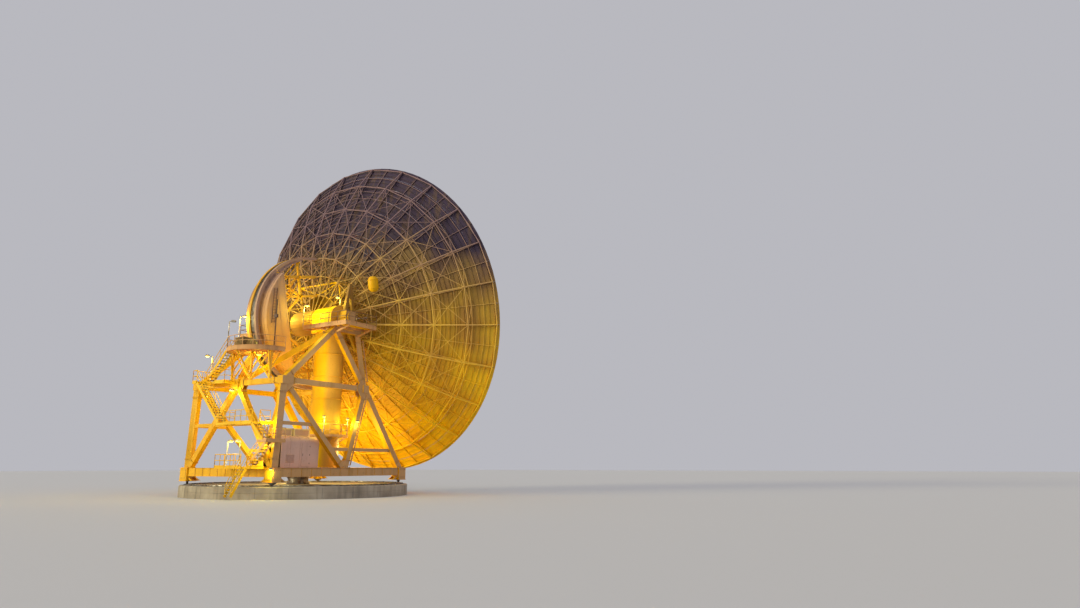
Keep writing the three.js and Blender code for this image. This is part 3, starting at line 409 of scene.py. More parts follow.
TOWER_PAINT = painted("tower_paint", "#e6ac00", "#d29a04", "#8c6a20", 0.4)
# The tower paint again, with a mauve painted shade on the faces that look to the right
RIGHT_SHADED_PAINT = painted("right_shaded_paint", "#e6ac00", "#d29a04", "#8c6a20", 0.4, right_face_shade="#c49a68")
PLATE_PAINT = painted("plate_paint", "#d6a468", "#c28f5c", "#7a5c48")
BOLT_STEEL = bare_steel("bolt_steel", "#77706a", "#5a4535")
BEAM_W, BEAM_LOW, BEAM_TOP = 0.7, 1.85, 2.6
CORNER_W, CORNER_LOW = 1.0, 1.4
FLANGE = 0.03
OVERHANG = 0.06
STIFFENER_SPACING = 1.1

dress(TOWER_PAINT, "base_side_left", "base_beam_rear", "base_beam_front", "base_cross_beam")
dress(RIGHT_SHADED_PAINT, "base_side_right")
base = Form()


def stiffened_beam(form, start, end):
    """Flange plates and upright stiffeners on a base beam that runs between two points."""
    start, end = np.array((*start, 0.0)), np.array((*end, 0.0))
    ahead = (end - start) / np.linalg.norm(end - start)
    aside = np.cross((0, 0, 1), ahead)
    for level in (BEAM_LOW + FLANGE / 2 - 0.002, BEAM_TOP - FLANGE / 2 + 0.002):
        form.bar(start + (0, 0, level), end + (0, 0, level), BEAM_W + 2 * OVERHANG, FLANGE)
    count = round(np.linalg.norm(end - start) / STIFFENER_SPACING)
    for k in range(1, count):
        place = start + (end - start) * k / count
        for side in (-1, 1):
            foot = place + aside * side * (BEAM_W / 2 + 0.015)
            form.bar(foot + (0, 0, BEAM_LOW + FLANGE), foot + (0, 0, BEAM_TOP - FLANGE), 0.012, 0.04, aside)


INNER_X = BASE_X - CORNER_W / 2
INNER_Y = BASE_Y - CORNER_W / 2
HAUNCH, HAUNCH_LOW = 0.62, CORNER_LOW + 0.05
HAUNCH_SHEET = 0.02
CORNER_PLATE_HALF = 0.56
CAP_Z, CAP_HALF, CAP_W = 2.05, 0.42, 0.72
haunch_edge = [
    (HAUNCH * (1 - math.sin(turn)), HAUNCH_LOW + (BEAM_LOW - HAUNCH_LOW) * (1 - math.cos(turn)))
    for turn in np.radians(np.arange(0, 91, 15))
]
for side in (-1, 1):
    stiffened_beam(base, (side * BASE_X, -INNER_Y), (side * BASE_X, INNER_Y))
    stiffened_beam(base, (-INNER_X, side * BASE_Y), (INNER_X, side * BASE_Y))
    stiffened_beam(base, (side * 1.0, 0), (side * (BASE_X - BEAM_W / 2), 0))
for x in (-BASE_X, BASE_X):
    for y in (-BASE_Y, BASE_Y):
        for level in (CORNER_LOW + 0.02, BEAM_TOP - 0.013):
            base.block((x - CORNER_PLATE_HALF, y - CORNER_PLATE_HALF, level - FLANGE / 2),
                       (x + CORNER_PLATE_HALF, y + CORNER_PLATE_HALF, level + FLANGE / 2))
        sx, sy = math.copysign(1, x), math.copysign(1, y)
        for web in (-0.3, 0.3):
            along_x = [(x - sx * (CORNER_W / 2 + reach), y + web, z) for reach, z in haunch_edge]
            along_y = [(x + web, y - sy * (CORNER_W / 2 + reach), z) for reach, z in haunch_edge]
            base.plate([*along_x, (x - sx * CORNER_W / 2, y + web, BEAM_LOW)], HAUNCH_SHEET)
            base.plate([*along_y, (x + web, y - sy * CORNER_W / 2, BEAM_LOW)], HAUNCH_SHEET)
        for (reach, z), (next_reach, next_z) in zip(haunch_edge, haunch_edge[1:]):
            near, far = CORNER_W / 2 + reach, CORNER_W / 2 + next_reach
            base.bar((x - sx * near, y, z), (x - sx * far, y, next_z), BEAM_W, HAUNCH_SHEET)
            base.bar((x, y - sy * near, z), (x, y - sy * far, next_z), BEAM_W, HAUNCH_SHEET)
        for turn in np.radians(np.arange(4) * 90):
            outward = np.array((math.cos(turn), math.sin(turn), 0))
            across = np.array((-math.sin(turn), math.cos(turn), 0))
            face = np.array((x, y, CAP_Z)) + outward * (CORNER_W / 2 + 0.012)
            base.bar(face - (0, 0, CAP_HALF), face + (0, 0, CAP_HALF), CAP_W, 0.03, outward)
            for reach in (-0.3, -0.1, 0.1, 0.3):
                for height in (-0.36, 0.36):
                    spot = face + across * reach + (0, 0, height)
                    base.pipe(spot, spot + outward * 0.04, 0.022, 6, finish=1)
make_piece("base_fittings", base, "alidade", [RIGHT_SHADED_PAINT, BOLT_STEEL])

# Towers
# Two braced towers of square box columns carry the elevation bearings. Gusset plates fill the corners
# of their welded joints beside bolted flanges, and a cable ladder climbs the right tower's front.
MID_X, MID_REAR, MID_FRONT, MID_Z = 5.94, -7.61, 2.2, 10.16
HEAD_X, HEAD_Y, HEAD_Z = 5.35, 1.49, 15.75
FOOT_Y = 0.2
LEG, BRACE = 0.56, 0.48
GUSSET_HALF, GUSSET_REACH, GUSSET_THICK = 0.21, 1.0, 0.03
GUSSET_WIDEST = 1.9             # radians between two members; a wider corner has no gusset
COLLAR_GAP, COLLAR_THICK, COLLAR_LIP = 0.024, 0.036, 0.1
FOOT_PLATE_X, FOOT_PLATE_Y, FOOT_PLATE_THICK = 0.42, 0.46, 0.05
TOWER_BARS = [
    ("rear_foot", "rear_knee", LEG), ("front_foot", "front_knee", LEG),
    ("brace_foot", "rear_knee", BRACE), ("brace_foot", "front_knee", BRACE),
    ("rear_knee", "front_knee", BRACE), ("rear_knee", "rear_head", BRACE),
    ("front_knee", "rear_head", BRACE), ("front_knee", "front_head", BRACE),
]

dress(TOWER_PAINT, "rear_brace", "rear_upper_brace", "mid_beam_rear", "mid_beam_front")
for side, paint in (("left", TOWER_PAINT), ("right", RIGHT_SHADED_PAINT)):
    for part in ("rear_leg", "front_leg", "mid_beam", "side_brace", "tower_head"):
        dress(paint, f"{part}_{side}")


def collar(form, start, end, width, distance):
    """A bolted joint round a square bar, at a distance from its start."""
    start, end = np.array(start, float), np.array(end, float)
    along = (end - start) / np.linalg.norm(end - start)
    middle = start + along * distance
    for gap in (-COLLAR_GAP, COLLAR_GAP):
        low, high = middle + along * (gap - COLLAR_THICK / 2), middle + along * (gap + COLLAR_THICK / 2)
        form.bar(low, high, width + COLLAR_LIP, width + COLLAR_LIP)
    side = np.cross((0, 0, 1), along)
    side /= np.linalg.norm(side)
    top = np.cross(along, side)
    for share in (-0.75, -0.25, 0.25, 0.75):
        for edge in (-1, 1):
            for offset in (side * edge + top * share, top * edge + side * share):
                spot = middle + offset * (width / 2 + 0.025)
                form.pipe(spot - along * 0.075, spot + along * 0.075, 0.016, 6, finish=1)


def joints_of(sx):
    """The working points of one tower."""
    return {
        "rear_foot": (sx * BASE_X, -BASE_Y, BEAM_TOP - LEG / 2),
        "front_foot": (sx * BASE_X, BASE_Y, BEAM_TOP - LEG / 2),
        "brace_foot": (sx * BASE_X, FOOT_Y, BEAM_TOP - LEG / 2),
        "rear_knee": (sx * MID_X, MID_REAR, MID_Z),
        "front_knee": (sx * MID_X, MID_FRONT, MID_Z),
        "rear_head": (sx * HEAD_X, -HEAD_Y, HEAD_Z),
        "front_head": (sx * HEAD_X, HEAD_Y, HEAD_Z),
    }


def gussets(form, centre, members, normal):
    """Twin plates in each corner between neighbouring (far end, width) members of a joint."""
    centre, normal = np.array(centre, float), np.array(normal, float)
    across = np.cross((0, 0, 1), normal)
    arms = []
    for end, width in members:
        away = np.array(end, float) - centre
        arms.append((math.atan2(away[2], away @ across), width / 2))
    arms.sort()
    for (turn, half), (after, next_half) in zip(arms, arms[1:] + arms[:1]):
        if not 0 < (after - turn) % (2 * math.pi) < GUSSET_WIDEST:
            continue
        corners = [centre]
        for angle, side in ((turn, half), (after, -next_half)):
            run = GUSSET_REACH * math.cos(angle) - side * math.sin(angle)
            rise = GUSSET_REACH * math.sin(angle) + side * math.cos(angle)
            corners.append(centre + across * run + (0, 0, rise))
        for face in (-1, 1):
            form.plate([corner + normal * face * GUSSET_HALF for corner in corners], GUSSET_THICK)


rear_node = (0, MID_REAR, MID_Z)
for name, sx, paint in (("left", -1, TOWER_PAINT), ("right", 1, RIGHT_SHADED_PAINT)):
    towers = Form()
    at = joints_of(sx)
    for start, end, width in TOWER_BARS:
        collar(towers, at[start], at[end], width, 1.05)
        collar(towers, at[end], at[start], width, 1.05)
    for end, distance in (("rear_foot", 1.1), ("rear_head", 1.1), ("rear_knee", 0.9)):
        collar(towers, at[end], rear_node, BRACE, distance)
        collar(towers, rear_node, at[end], BRACE, distance)
    for foot in ("rear_foot", "front_foot", "brace_foot"):
        x, y, _ = at[foot]
        plate_top = BEAM_TOP + FOOT_PLATE_THICK
        towers.block((x - FOOT_PLATE_X, y - FOOT_PLATE_Y, BEAM_TOP),
                     (x + FOOT_PLATE_X, y + FOOT_PLATE_Y, plate_top))
        for bolt_x in (-0.36, 0.36):
            for bolt_y in (-0.4, -0.13, 0.13, 0.4):
                spot = np.array((x + bolt_x, y + bolt_y, plate_top))
                towers.pipe(spot, spot + (0, 0, 0.06), 0.024, 6, finish=1)
    for joint in ("rear_knee", "front_knee", "brace_foot"):
        members = [(at[end if start == joint else start], width)
                   for start, end, width in TOWER_BARS if joint in (start, end)]
        gussets(towers, at[joint], members, (1, 0, 0))
    rear_members = [(at[end], BRACE) for end in ("rear_foot", "rear_knee", "rear_head")]
    gussets(towers, rear_node, rear_members, (0, 1, 0))
    make_piece(f"tower_fittings_{name}", towers, "alidade", [paint, BOLT_STEEL])

TRAY_HALF, TRAY_DEPTH, RUNG_PITCH = 0.3, 0.12, 0.4
CABLE_DARK = painted("cable_jacket", "#4b4038", "#3a322c", "#2b2521", 0.3)
cable_ladder = Form()
right = joints_of(1)


def cable_run(form, start, end, offset, lead):
    """A ladder tray with cables along a column, from a distance past its start to the same before its end."""
    start, end = np.array(start, float), np.array(end, float)
    along = (end - start) / np.linalg.norm(end - start)
    start, end = start + along * lead + offset, end - along * lead + offset
    side = np.array((1.0, 0, 0))
    for reach in (-TRAY_HALF, TRAY_HALF):
        form.bar(start + side * reach, end + side * reach, 0.05, TRAY_DEPTH, np.cross(along, side))
    count = round(np.linalg.norm(end - start) / RUNG_PITCH)
    for k in range(count + 1):
        rung = start + (end - start) * k / count
        form.bar(rung - side * TRAY_HALF, rung + side * TRAY_HALF, 0.06, 0.03, np.cross(along, side))
    for reach in (-0.2, -0.13, -0.05):
        form.pipe(start + side * reach, end + side * reach, 0.035, 8, finish=1)


cable_run(cable_ladder, right["front_head"], right["front_knee"], np.array((0.06, 0.29, 0)), 0.8)
cable_run(cable_ladder, right["front_knee"], right["brace_foot"], np.array((0, 0.38, 0)), 0.55)
make_piece("cable_ladder", cable_ladder, "alidade", [PLATE_PAINT, CABLE_DARK])

# Elevation bearings
# A split cast housing with a bolted cap holds each shaft, with a round bolted cover over each end.
AXIS_Z = 17.0
BEARING_IN, BEARING_OUT = 5.1, 5.9
COVER_R, COVER_BOSS_R, COVER_BOLTS_R = 0.52, 0.4, 0.46
CAP_BOLT_Y = 0.66
bearings = Form()
for sx in (-1, 1):
    for face, reach in ((BEARING_OUT, 0.16), (BEARING_IN, -0.1)):
        inner, outer = np.array((sx * face, 0, AXIS_Z)), np.array((sx * (face + reach), 0, AXIS_Z))
        bearings.pipe(inner, outer, COVER_R, 48)
        bearings.pipe(outer, outer + (outer - inner) * 0.35, COVER_BOSS_R, 48)
        for turn in np.radians(np.arange(0, 360, 22.5)):
            spot = outer + np.array((0, math.cos(turn), math.sin(turn))) * COVER_BOLTS_R
            bearings.pipe(spot, spot + (outer - inner) * 0.3, 0.022, 6, finish=1)
    for y in (-CAP_BOLT_Y, CAP_BOLT_Y):
        bearings.bar((sx * BEARING_IN, y, AXIS_Z), (sx * BEARING_OUT, y, AXIS_Z), 0.12, 0.12)
        for x in (5.25, 5.5, 5.75):
            bearings.pipe((sx * x, y, AXIS_Z - 0.1), (sx * x, y, AXIS_Z + 0.12), 0.024, 6, finish=1)
make_piece("bearing_housings", bearings, "alidade", [RIGHT_SHADED_PAINT, BOLT_STEEL])

# Beam tube
# An upright shroud of rolled plate stands on the cross beam, on a ring of bolts. It is built up of
# six rings, and a pair of flanges with a narrow seam between them joins each ring to the next.
TUBE_X, TUBE_R, TUBE_TOP = 3.2, 1.45, 15.6
TUBE_RING, TUBE_JOINTS = 2.17, 5
SHELL_R, FLANGE_R, FOOT_RING_R = TUBE_R - 0.03, TUBE_R + 0.03, TUBE_R + 0.12
# The tube's faces that look to the right carry a tan painted shade.
TUBE_PAINT = painted("tube_paint", "#fcc800", "#eeb600", "#ac8420", 0.25, right_face_shade="#d4a23c")
tube = Form()
outline = [(0, BEAM_TOP), (FOOT_RING_R, BEAM_TOP), (FOOT_RING_R, BEAM_TOP + 0.04), (SHELL_R, BEAM_TOP + 0.05)]
for k in range(1, TUBE_JOINTS + 1):
    joint = BEAM_TOP + k * TUBE_RING
    outline += [(SHELL_R, joint - 0.045), (FLANGE_R, joint - 0.035), (FLANGE_R, joint - 0.004),
                (TUBE_R + 0.01, joint), (FLANGE_R, joint + 0.004), (FLANGE_R, joint + 0.035),
                (SHELL_R, joint + 0.045)]
outline += [(SHELL_R, TUBE_TOP - 0.06), (TUBE_R, TUBE_TOP - 0.05), (TUBE_R, TUBE_TOP), (0, TUBE_TOP)]
tube.turned(outline, 96)
for turn in np.radians(np.arange(0, 360, 12)):
    outward = np.array((math.cos(turn), math.sin(turn), 0)) * (TUBE_R + 0.07)
    tube.pipe(outward + (0, 0, BEAM_TOP + 0.03), outward + (0, 0, BEAM_TOP + 0.1), 0.02, 6, finish=1)
make_piece("beam_tube_shroud", tube, "alidade", [TUBE_PAINT, BOLT_STEEL], ["beam_tube"],
           Matrix.Translation((TUBE_X, 0, 0)))

# Mirror housing
# A plated box with a half-round roof on top of the tube holds the mirror that turns the beam along
# the elevation axis. Its neck meets the tipping drum, and its outer end has a louvred vent.
HOUSING_IN, HOUSING_OUT, HOUSING_HALF, HOUSING_SPRING = 1.75, 4.4, 1.15, 17.2
HOUSING_TOP = HOUSING_SPRING + HOUSING_HALF
NECK_R, NECK_IN = 1.05, 1.4
VENT_PITCH = 0.09
VENT_HALF, VENT_LOW, VENT_TOP = 0.6, 15.9, 17.5
BAND_W = 0.06
housing = Form()


def prism(form, ring, x0, x1):
    """Runs an end view of (y, z) corners, anticlockwise, from one x to another."""
    form.joined([(x0, y, z) for y, z in ring], [(x1, y, z) for y, z in ring])


def housing_ring(x0, x1, grow):
    """A slice of the housing between two x, grown on its sides and roof."""
    half = HOUSING_HALF + grow
    ring = [(-half, TUBE_TOP), (half, TUBE_TOP)]
    for turn in np.radians(np.arange(0, 181, 7.5)):
        ring.append((half * math.cos(turn), HOUSING_SPRING + half * math.sin(turn)))
    prism(housing, ring, x0, x1)


housing_ring(HOUSING_IN + 0.01, HOUSING_OUT - 0.02, -0.012)
for x0 in (HOUSING_IN, 2.6, 3.5, HOUSING_OUT - 0.07):
    housing_ring(x0, x0 + BAND_W, 0)
housing.pipe((NECK_IN, 0, AXIS_Z), (HOUSING_IN + 0.1, 0, AXIS_Z), NECK_R - 0.05, 64)
for x0 in (NECK_IN + 0.02, HOUSING_IN - 0.1):
    housing.pipe((x0, 0, AXIS_Z), (x0 + 0.08, 0, AXIS_Z), NECK_R, 64)
housing.block((HOUSING_OUT - 0.03, -VENT_HALF, VENT_LOW), (HOUSING_OUT, VENT_HALF, VENT_TOP))
for z in np.arange(VENT_LOW + 0.1, VENT_TOP - 0.05, VENT_PITCH):
    housing.bar((HOUSING_OUT + 0.01, -0.52, z), (HOUSING_OUT + 0.01, 0.52, z), 0.03, 0.05, (0.6, 0, 1))
make_piece("mirror_box", housing, "alidade", [TUBE_PAINT], ["mirror_housing"])

# Tube walkway
# A ring of steel decking round the tube, on brackets, with an edge channel and a railing of round
# bars. The platforms and landings further on have the same railing.
GRATING = bare_steel("grating", "#8f8672", "#6b5844")
RAILING_TOP = 1.07
RAIL_R = 0.03
KICK_DEPTH = 0.12
STRAIGHTEST_BEND = 0.8          # the cosine of a bend; a sharper one gets a post of its own
GRATING_PITCH, CARRIER_PITCH = 0.16, 0.4


def railing(form, path, spacing=1.3, kick=True, finish=0):
    """Posts, two round rails and a kick plate along a path of corners at deck level."""
    path = [np.array(corner, float) for corner in path]
    for start, end in zip(path, path[1:]):
        for height in (RAILING_TOP / 2, RAILING_TOP - RAIL_R):
            form.pipe(start + (0, 0, height), end + (0, 0, height), RAIL_R, 8, finish=finish)
        if kick:
            form.bar(start + (0, 0, KICK_DEPTH / 2), end + (0, 0, KICK_DEPTH / 2), 0.012, KICK_DEPTH)
    runs = [[path[0]]]
    for before, here, after in zip(path, path[1:], path[2:]):
        runs[-1].append(here)
        arriving, leaving = here - before, after - here
        if arriving @ leaving < STRAIGHTEST_BEND * np.linalg.norm(arriving) * np.linalg.norm(leaving):
            runs.append([here])
    runs[-1].append(path[-1])
    for run in runs:
        run = np.array(run)
        reach = np.concatenate([[0], np.cumsum(np.linalg.norm(np.diff(run, axis=0), axis=1))])
        for distance in np.linspace(0, reach[-1], max(1, round(reach[-1] / spacing)) + 1):
            foot = np.array([np.interp(distance, reach, run[:, axis]) for axis in range(3)])
            form.pipe(foot - (0, 0, 0.08), foot + (0, 0, RAILING_TOP - RAIL_R), RAIL_R, 8, finish=finish)


def grating(form, corner, opposite, level):
    """Open grating between two plan corners: flat bars along Y on carriers along X."""
    (x0, y0), (x1, y1) = corner, opposite
    count = max(2, round((x1 - x0) / GRATING_PITCH))
    for k in range(count + 1):
        x = x0 + (x1 - x0) * k / count
        form.bar((x, y0, level - 0.02), (x, y1, level - 0.02), 0.03, 0.035, finish=1)
    count = max(2, round((y1 - y0) / CARRIER_PITCH))
    for k in range(count + 1):
        y = y0 + (y1 - y0) * k / count
        form.bar((x0, y, level - 0.05), (x1, y, level - 0.05), 0.03, 0.06, finish=1)


WALK_Z, WALK_R = 5.6, 2.25
WALK_EDGE_R, WALK_RAIL_R = WALK_R - 0.08, WALK_R - 0.03
WALK_POST_SPACING = 1.16
walkway = Form()
walkway.turned([(TUBE_R + 0.02, WALK_Z - 0.03), (WALK_EDGE_R, WALK_Z - 0.03), (WALK_EDGE_R, WALK_Z),
                (TUBE_R + 0.02, WALK_Z)], 48, finish=1)
walkway.turned([(WALK_EDGE_R, WALK_Z - 0.11), (WALK_R, WALK_Z - 0.11), (WALK_R, WALK_Z + 0.1),
                (WALK_R - 0.012, WALK_Z + 0.1), (WALK_R - 0.012, WALK_Z), (WALK_EDGE_R, WALK_Z)], 48)
for turn in np.radians(np.arange(0, 360, 22.5)):
    outward = np.array((math.cos(turn), math.sin(turn), 0))
    root = outward * TUBE_R
    walkway.bar(root + (0, 0, WALK_Z - 0.07), outward * (WALK_R - 0.05) + (0, 0, WALK_Z - 0.07), 0.05, 0.08)
    walkway.bar(root + (0, 0, WALK_Z - 0.6), outward * (WALK_R - 0.1) + (0, 0, WALK_Z - 0.1), 0.05, 0.05)
rail_turns = np.radians(np.arange(0, 361, 15))
ring = [(WALK_RAIL_R * math.cos(turn), WALK_RAIL_R * math.sin(turn), WALK_Z) for turn in rail_turns]
railing(walkway, ring, WALK_POST_SPACING, False)
make_piece("tube_gallery", walkway, "alidade", [PLATE_PAINT, GRATING], ["tube_walkway"],
           Matrix.Translation((TUBE_X, 0, 0)))

# Bearing platforms
# An L-shaped deck of grating over thin plate and channel beams lies behind and outboard of each elevation
# bearing. The plate and beams under the grating are painted bright yellow: painted lamplight from below.
# It has a deep edge channel and a dark railing, and knee braces carry it on the tower head.
PLATFORM_Z = HEAD_Z + LEG / 2 + 0.11
PLATFORM_OUT, PLATFORM_REAR, PLATFORM_BACK = 7.7, -2.3, -1.45
PLATFORM_SIDE, PLATFORM_FRONT = 5.95, 1.75
EDGE_DEPTH = 0.36
JOIST_Z, JOIST_PITCH = PLATFORM_Z - 0.17, 0.8
# Bright yellow underside: painted lamplight from below
LAMPLIT_UNDER_PAINT = painted("lamplit_under_paint", "#ffcc00", "#f0b800", "#94742a", 0.3)
DARK_RAIL = painted("dark_rail", "#94704c", "#7f5f42", "#4f3c30", 0.3)
for side, sx, inner in (("left", -1, 2.05), ("right", 1, 1.75)):
    deck = Form()
    plan = [(inner, PLATFORM_REAR), (PLATFORM_OUT, PLATFORM_REAR), (PLATFORM_OUT, PLATFORM_FRONT),
            (PLATFORM_SIDE, PLATFORM_FRONT), (PLATFORM_SIDE, PLATFORM_BACK), (inner, PLATFORM_BACK)]
    plan = [(sx * x, y) for x, y in plan]
    for (x0, y0), (x1, y1) in zip(plan, plan[1:] + plan[:1]):
        inward = np.array((-(y1 - y0), x1 - x0, 0.0)) * sx
        inward *= 0.04 / np.linalg.norm(inward)
        start, end = np.array((x0, y0, 0.0)) + inward, np.array((x1, y1, 0.0)) + inward
        low = PLATFORM_Z - EDGE_DEPTH / 2 + 0.06
        deck.bar(start + (0, 0, low), end + (0, 0, low), 0.02, EDGE_DEPTH)
        for level in (low - EDGE_DEPTH / 2, PLATFORM_Z + 0.05):
            deck.bar(start + (0, 0, level), end + (0, 0, level), 0.07, 0.016)
    for x0, x1, y0, y1 in ((inner, PLATFORM_OUT, PLATFORM_REAR, PLATFORM_BACK),
                           (PLATFORM_SIDE, PLATFORM_OUT, PLATFORM_BACK, PLATFORM_FRONT)):
        low_x, high_x = sorted((sx * x0, sx * x1))
        grating(deck, (low_x + 0.06, y0 + 0.06), (high_x - 0.06, y1 - 0.06), PLATFORM_Z)
        deck.block((low_x + 0.05, y0 + 0.05, PLATFORM_Z - 0.09),
                   (high_x - 0.05, y1 - 0.05, PLATFORM_Z - 0.075), 2)
        count = round((high_x - low_x) / JOIST_PITCH)
        for k in range(1, count):
            x = low_x + (high_x - low_x) * k / count
            deck.bar((x, y0 + 0.05, JOIST_Z), (x, y1 - 0.05, JOIST_Z), 0.06, 0.16, finish=2)
    line = [(inner + 0.03, PLATFORM_BACK - 0.03), (inner + 0.03, PLATFORM_REAR + 0.03),
            (PLATFORM_OUT - 0.03, PLATFORM_REAR + 0.03), (PLATFORM_OUT - 0.03, PLATFORM_FRONT - 0.03),
            (PLATFORM_SIDE + 0.03, PLATFORM_FRONT - 0.03)]
    railing(deck, [(sx * x, y, PLATFORM_Z) for x, y in line], finish=3)
    for y in (-HEAD_Y - 0.1, HEAD_Y - 0.1):
        deck.bar((sx * 5.6, y, 15.35), (sx * 7.5, y, PLATFORM_Z - 0.25), 0.12, 0.16)
    for x in (3.2, 4.6):
        deck.bar((sx * 5.2, -1.75, 15.5), (sx * x, -1.9, PLATFORM_Z - 0.22), 0.12, 0.12)
    make_piece(f"bearing_deck_{side}", deck, "alidade",
               [PLATE_PAINT, GRATING, LAMPLIT_UNDER_PAINT, DARK_RAIL], [f"bearing_platform_{side}"])

# Drive platform
# A half-round steel deck behind the elevation wheel stands on a trussed base over the rear
# beam. Its edge is notched where the stair arrives, and its channel is rolled to the curve.
DRIVE_X, DRIVE_Y, DRIVE_R, DRIVE_Z = 1.5, -6.52, 3.1, 13.2
STAIR_HEAD = -0.4
FLIGHT_W = 0.8
LANE_OUT, LANE_IN = -9.4, -8.56
TRUSS_X, TRUSS_BAR, TRUSS_FOOT = (-1.1, 1.5, 4.1), 0.11, MID_Z + BRACE / 2
drive = Form()


def drive_arc(inset, first, last):
    """Corners along the round edge of the drive platform, between two turns about its middle."""
    radius = DRIVE_R - inset
    turns = np.radians(np.linspace(first, last, max(2, round((last - first) / 5) + 1)))
    return [(DRIVE_X + radius * math.cos(turn), DRIVE_Y + radius * math.sin(turn)) for turn in turns]


def edge_y(x):
    """Where the round edge of the drive platform lies at an x."""
    return DRIVE_Y - math.sqrt(DRIVE_R ** 2 - (x - DRIVE_X) ** 2)


WELL_SIDE = LANE_IN + FLIGHT_W / 2
WELL_TURN = 180 + math.degrees(math.asin((DRIVE_Y - WELL_SIDE) / DRIVE_R))
GATE_TURN = 180 + math.degrees(math.acos((DRIVE_X - STAIR_HEAD) / DRIVE_R))
side_arc, near_arc = drive_arc(0.01, 180, WELL_TURN), drive_arc(0.01, GATE_TURN, 360)
drive_plan = [*side_arc, (STAIR_HEAD, WELL_SIDE), *near_arc]
drive.slab(drive_plan, DRIVE_Z - 0.05, DRIVE_Z, 1)
drive.slab(drive_plan, DRIVE_Z - 0.1, DRIVE_Z - 0.052, 2)
for start, end in zip(drive_plan, drive_plan[1:] + drive_plan[:1]):
    drive.bar((*start, DRIVE_Z - 0.12), (*end, DRIVE_Z - 0.12), 0.024, 0.36)
    for level in (DRIVE_Z - 0.3, DRIVE_Z + 0.06):
        drive.bar((*start, level), (*end, level), 0.07, 0.018)
for x in np.arange(-1.2, 4.5, 0.7):
    reach = edge_y(x) + 0.06
    if x < STAIR_HEAD:
        reach = max(reach, WELL_SIDE)
    drive.bar((x, DRIVE_Y, DRIVE_Z - 0.17), (x, reach, DRIVE_Z - 0.17), 0.07, 0.16)
for arc in (drive_arc(0.03, 180, WELL_TURN - 1), drive_arc(0.03, GATE_TURN + 1, 360)):
    railing(drive, [(x, y, DRIVE_Z) for x, y in arc], 1.0)
for x in TRUSS_X:
    drive.bar((x, MID_REAR, TRUSS_FOOT), (x, MID_REAR, DRIVE_Z - 0.05), 0.18, 0.18, (0, 1, 0), 2)
    reach = edge_y(x) + 0.3
    if x < STAIR_HEAD:
        reach = max(reach, WELL_SIDE)
    drive.bar((x, MID_REAR, TRUSS_FOOT + 0.3), (x, reach, DRIVE_Z - 0.2), TRUSS_BAR, TRUSS_BAR, finish=2)
    drive.bar((x, MID_REAR, TRUSS_FOOT + 0.9), (x, DRIVE_Y, DRIVE_Z - 0.2), TRUSS_BAR, TRUSS_BAR, finish=2)
for first, second in ((0, 1), (1, 0), (1, 2), (2, 1)):
    foot, head = (TRUSS_X[first], MID_REAR, TRUSS_FOOT), (TRUSS_X[second], MID_REAR, DRIVE_Z - 0.15)
    drive.bar(foot, head, TRUSS_BAR, TRUSS_BAR, finish=2)
make_piece("drive_deck", drive, "alidade", [PLATE_PAINT, GRATING, TUBE_PAINT], ["drive_platform"])

# Elevation drive
# A cast gearbox on the platform turns a pinion in the rack. A motor with cooling fins is flanged to
# its right side, and its brake to the left side.
GEAR_X = -0.175
MACHINE_PAINT = painted("machine_paint", "#a3854a", "#8c7044", "#4f3f2f", 0.6)
MOTOR_Y, MOTOR_Z = -7.4, DRIVE_Z + 0.65
FIN_R = 0.26
gearbox = Form()
gearbox.block((GEAR_X - 0.58, -7.86, DRIVE_Z + 0.1), (GEAR_X + 0.58, -6.93, DRIVE_Z + 1.17))
for z in (DRIVE_Z + 0.06, DRIVE_Z + 0.66, DRIVE_Z + 1.2):
    gearbox.block((GEAR_X - 0.6, -7.9, z - 0.06), (GEAR_X + 0.6, -6.9, z + 0.05))
for x in np.linspace(GEAR_X - 0.5, GEAR_X + 0.5, 5):
    gearbox.block((x - 0.02, -7.89, DRIVE_Z + 0.12), (x + 0.02, -6.91, DRIVE_Z + 1.14))
gearbox.block((GEAR_X - 0.3, -6.95, DRIVE_Z + 0.38), (GEAR_X + 0.3, -6.6, DRIVE_Z + 0.92))
gearbox.pipe((GEAR_X - 0.33, -6.68, DRIVE_Z + 0.65), (GEAR_X + 0.33, -6.68, DRIVE_Z + 0.65), 0.25, 32)
for z in (DRIVE_Z + 0.56, DRIVE_Z + 1.1):
    for y in np.arange(-7.8, -6.95, 0.19):
        for sx in (-1, 1):
            gearbox.pipe((GEAR_X + sx * 0.57, y, z), (GEAR_X + sx * 0.57, y, z + 0.2), 0.016, 6, finish=1)
motor_in, motor_out = GEAR_X + 0.58, GEAR_X + 1.48
for x0, x1, radius in ((motor_in, motor_in + 0.06, 0.3), (motor_in + 0.06, motor_out - 0.2, 0.24),
                       (motor_out - 0.2, motor_out - 0.16, 0.29), (motor_out - 0.16, motor_out, 0.27)):
    gearbox.pipe((x0, MOTOR_Y, MOTOR_Z), (x1, MOTOR_Y, MOTOR_Z), radius, 40)
for turn in np.radians(np.arange(0, 360, 12)):
    outward = np.array((0, math.cos(turn), math.sin(turn))) * FIN_R
    fin = outward + (0, MOTOR_Y, MOTOR_Z)
    gearbox.bar(fin + (motor_in + 0.1, 0, 0), fin + (motor_out - 0.22, 0, 0), 0.012, 0.06, outward)
gearbox.block((motor_in + 0.25, MOTOR_Y - 0.13, MOTOR_Z + 0.2),
              (motor_in + 0.55, MOTOR_Y + 0.13, MOTOR_Z + 0.38))
gearbox.block((motor_in + 0.15, MOTOR_Y - 0.22, DRIVE_Z), (motor_in + 0.6, MOTOR_Y + 0.22, MOTOR_Z - 0.2))
for reach, radius in ((0.12, 0.27), (0.06, 0.2)):
    gearbox.pipe((GEAR_X - 0.58 - reach, MOTOR_Y, MOTOR_Z), (GEAR_X - 0.55, MOTOR_Y, MOTOR_Z), radius, 32)
make_piece("elevation_gearbox", gearbox, "alidade", [MACHINE_PAINT, BOLT_STEEL],
           ["elevation_drive"])

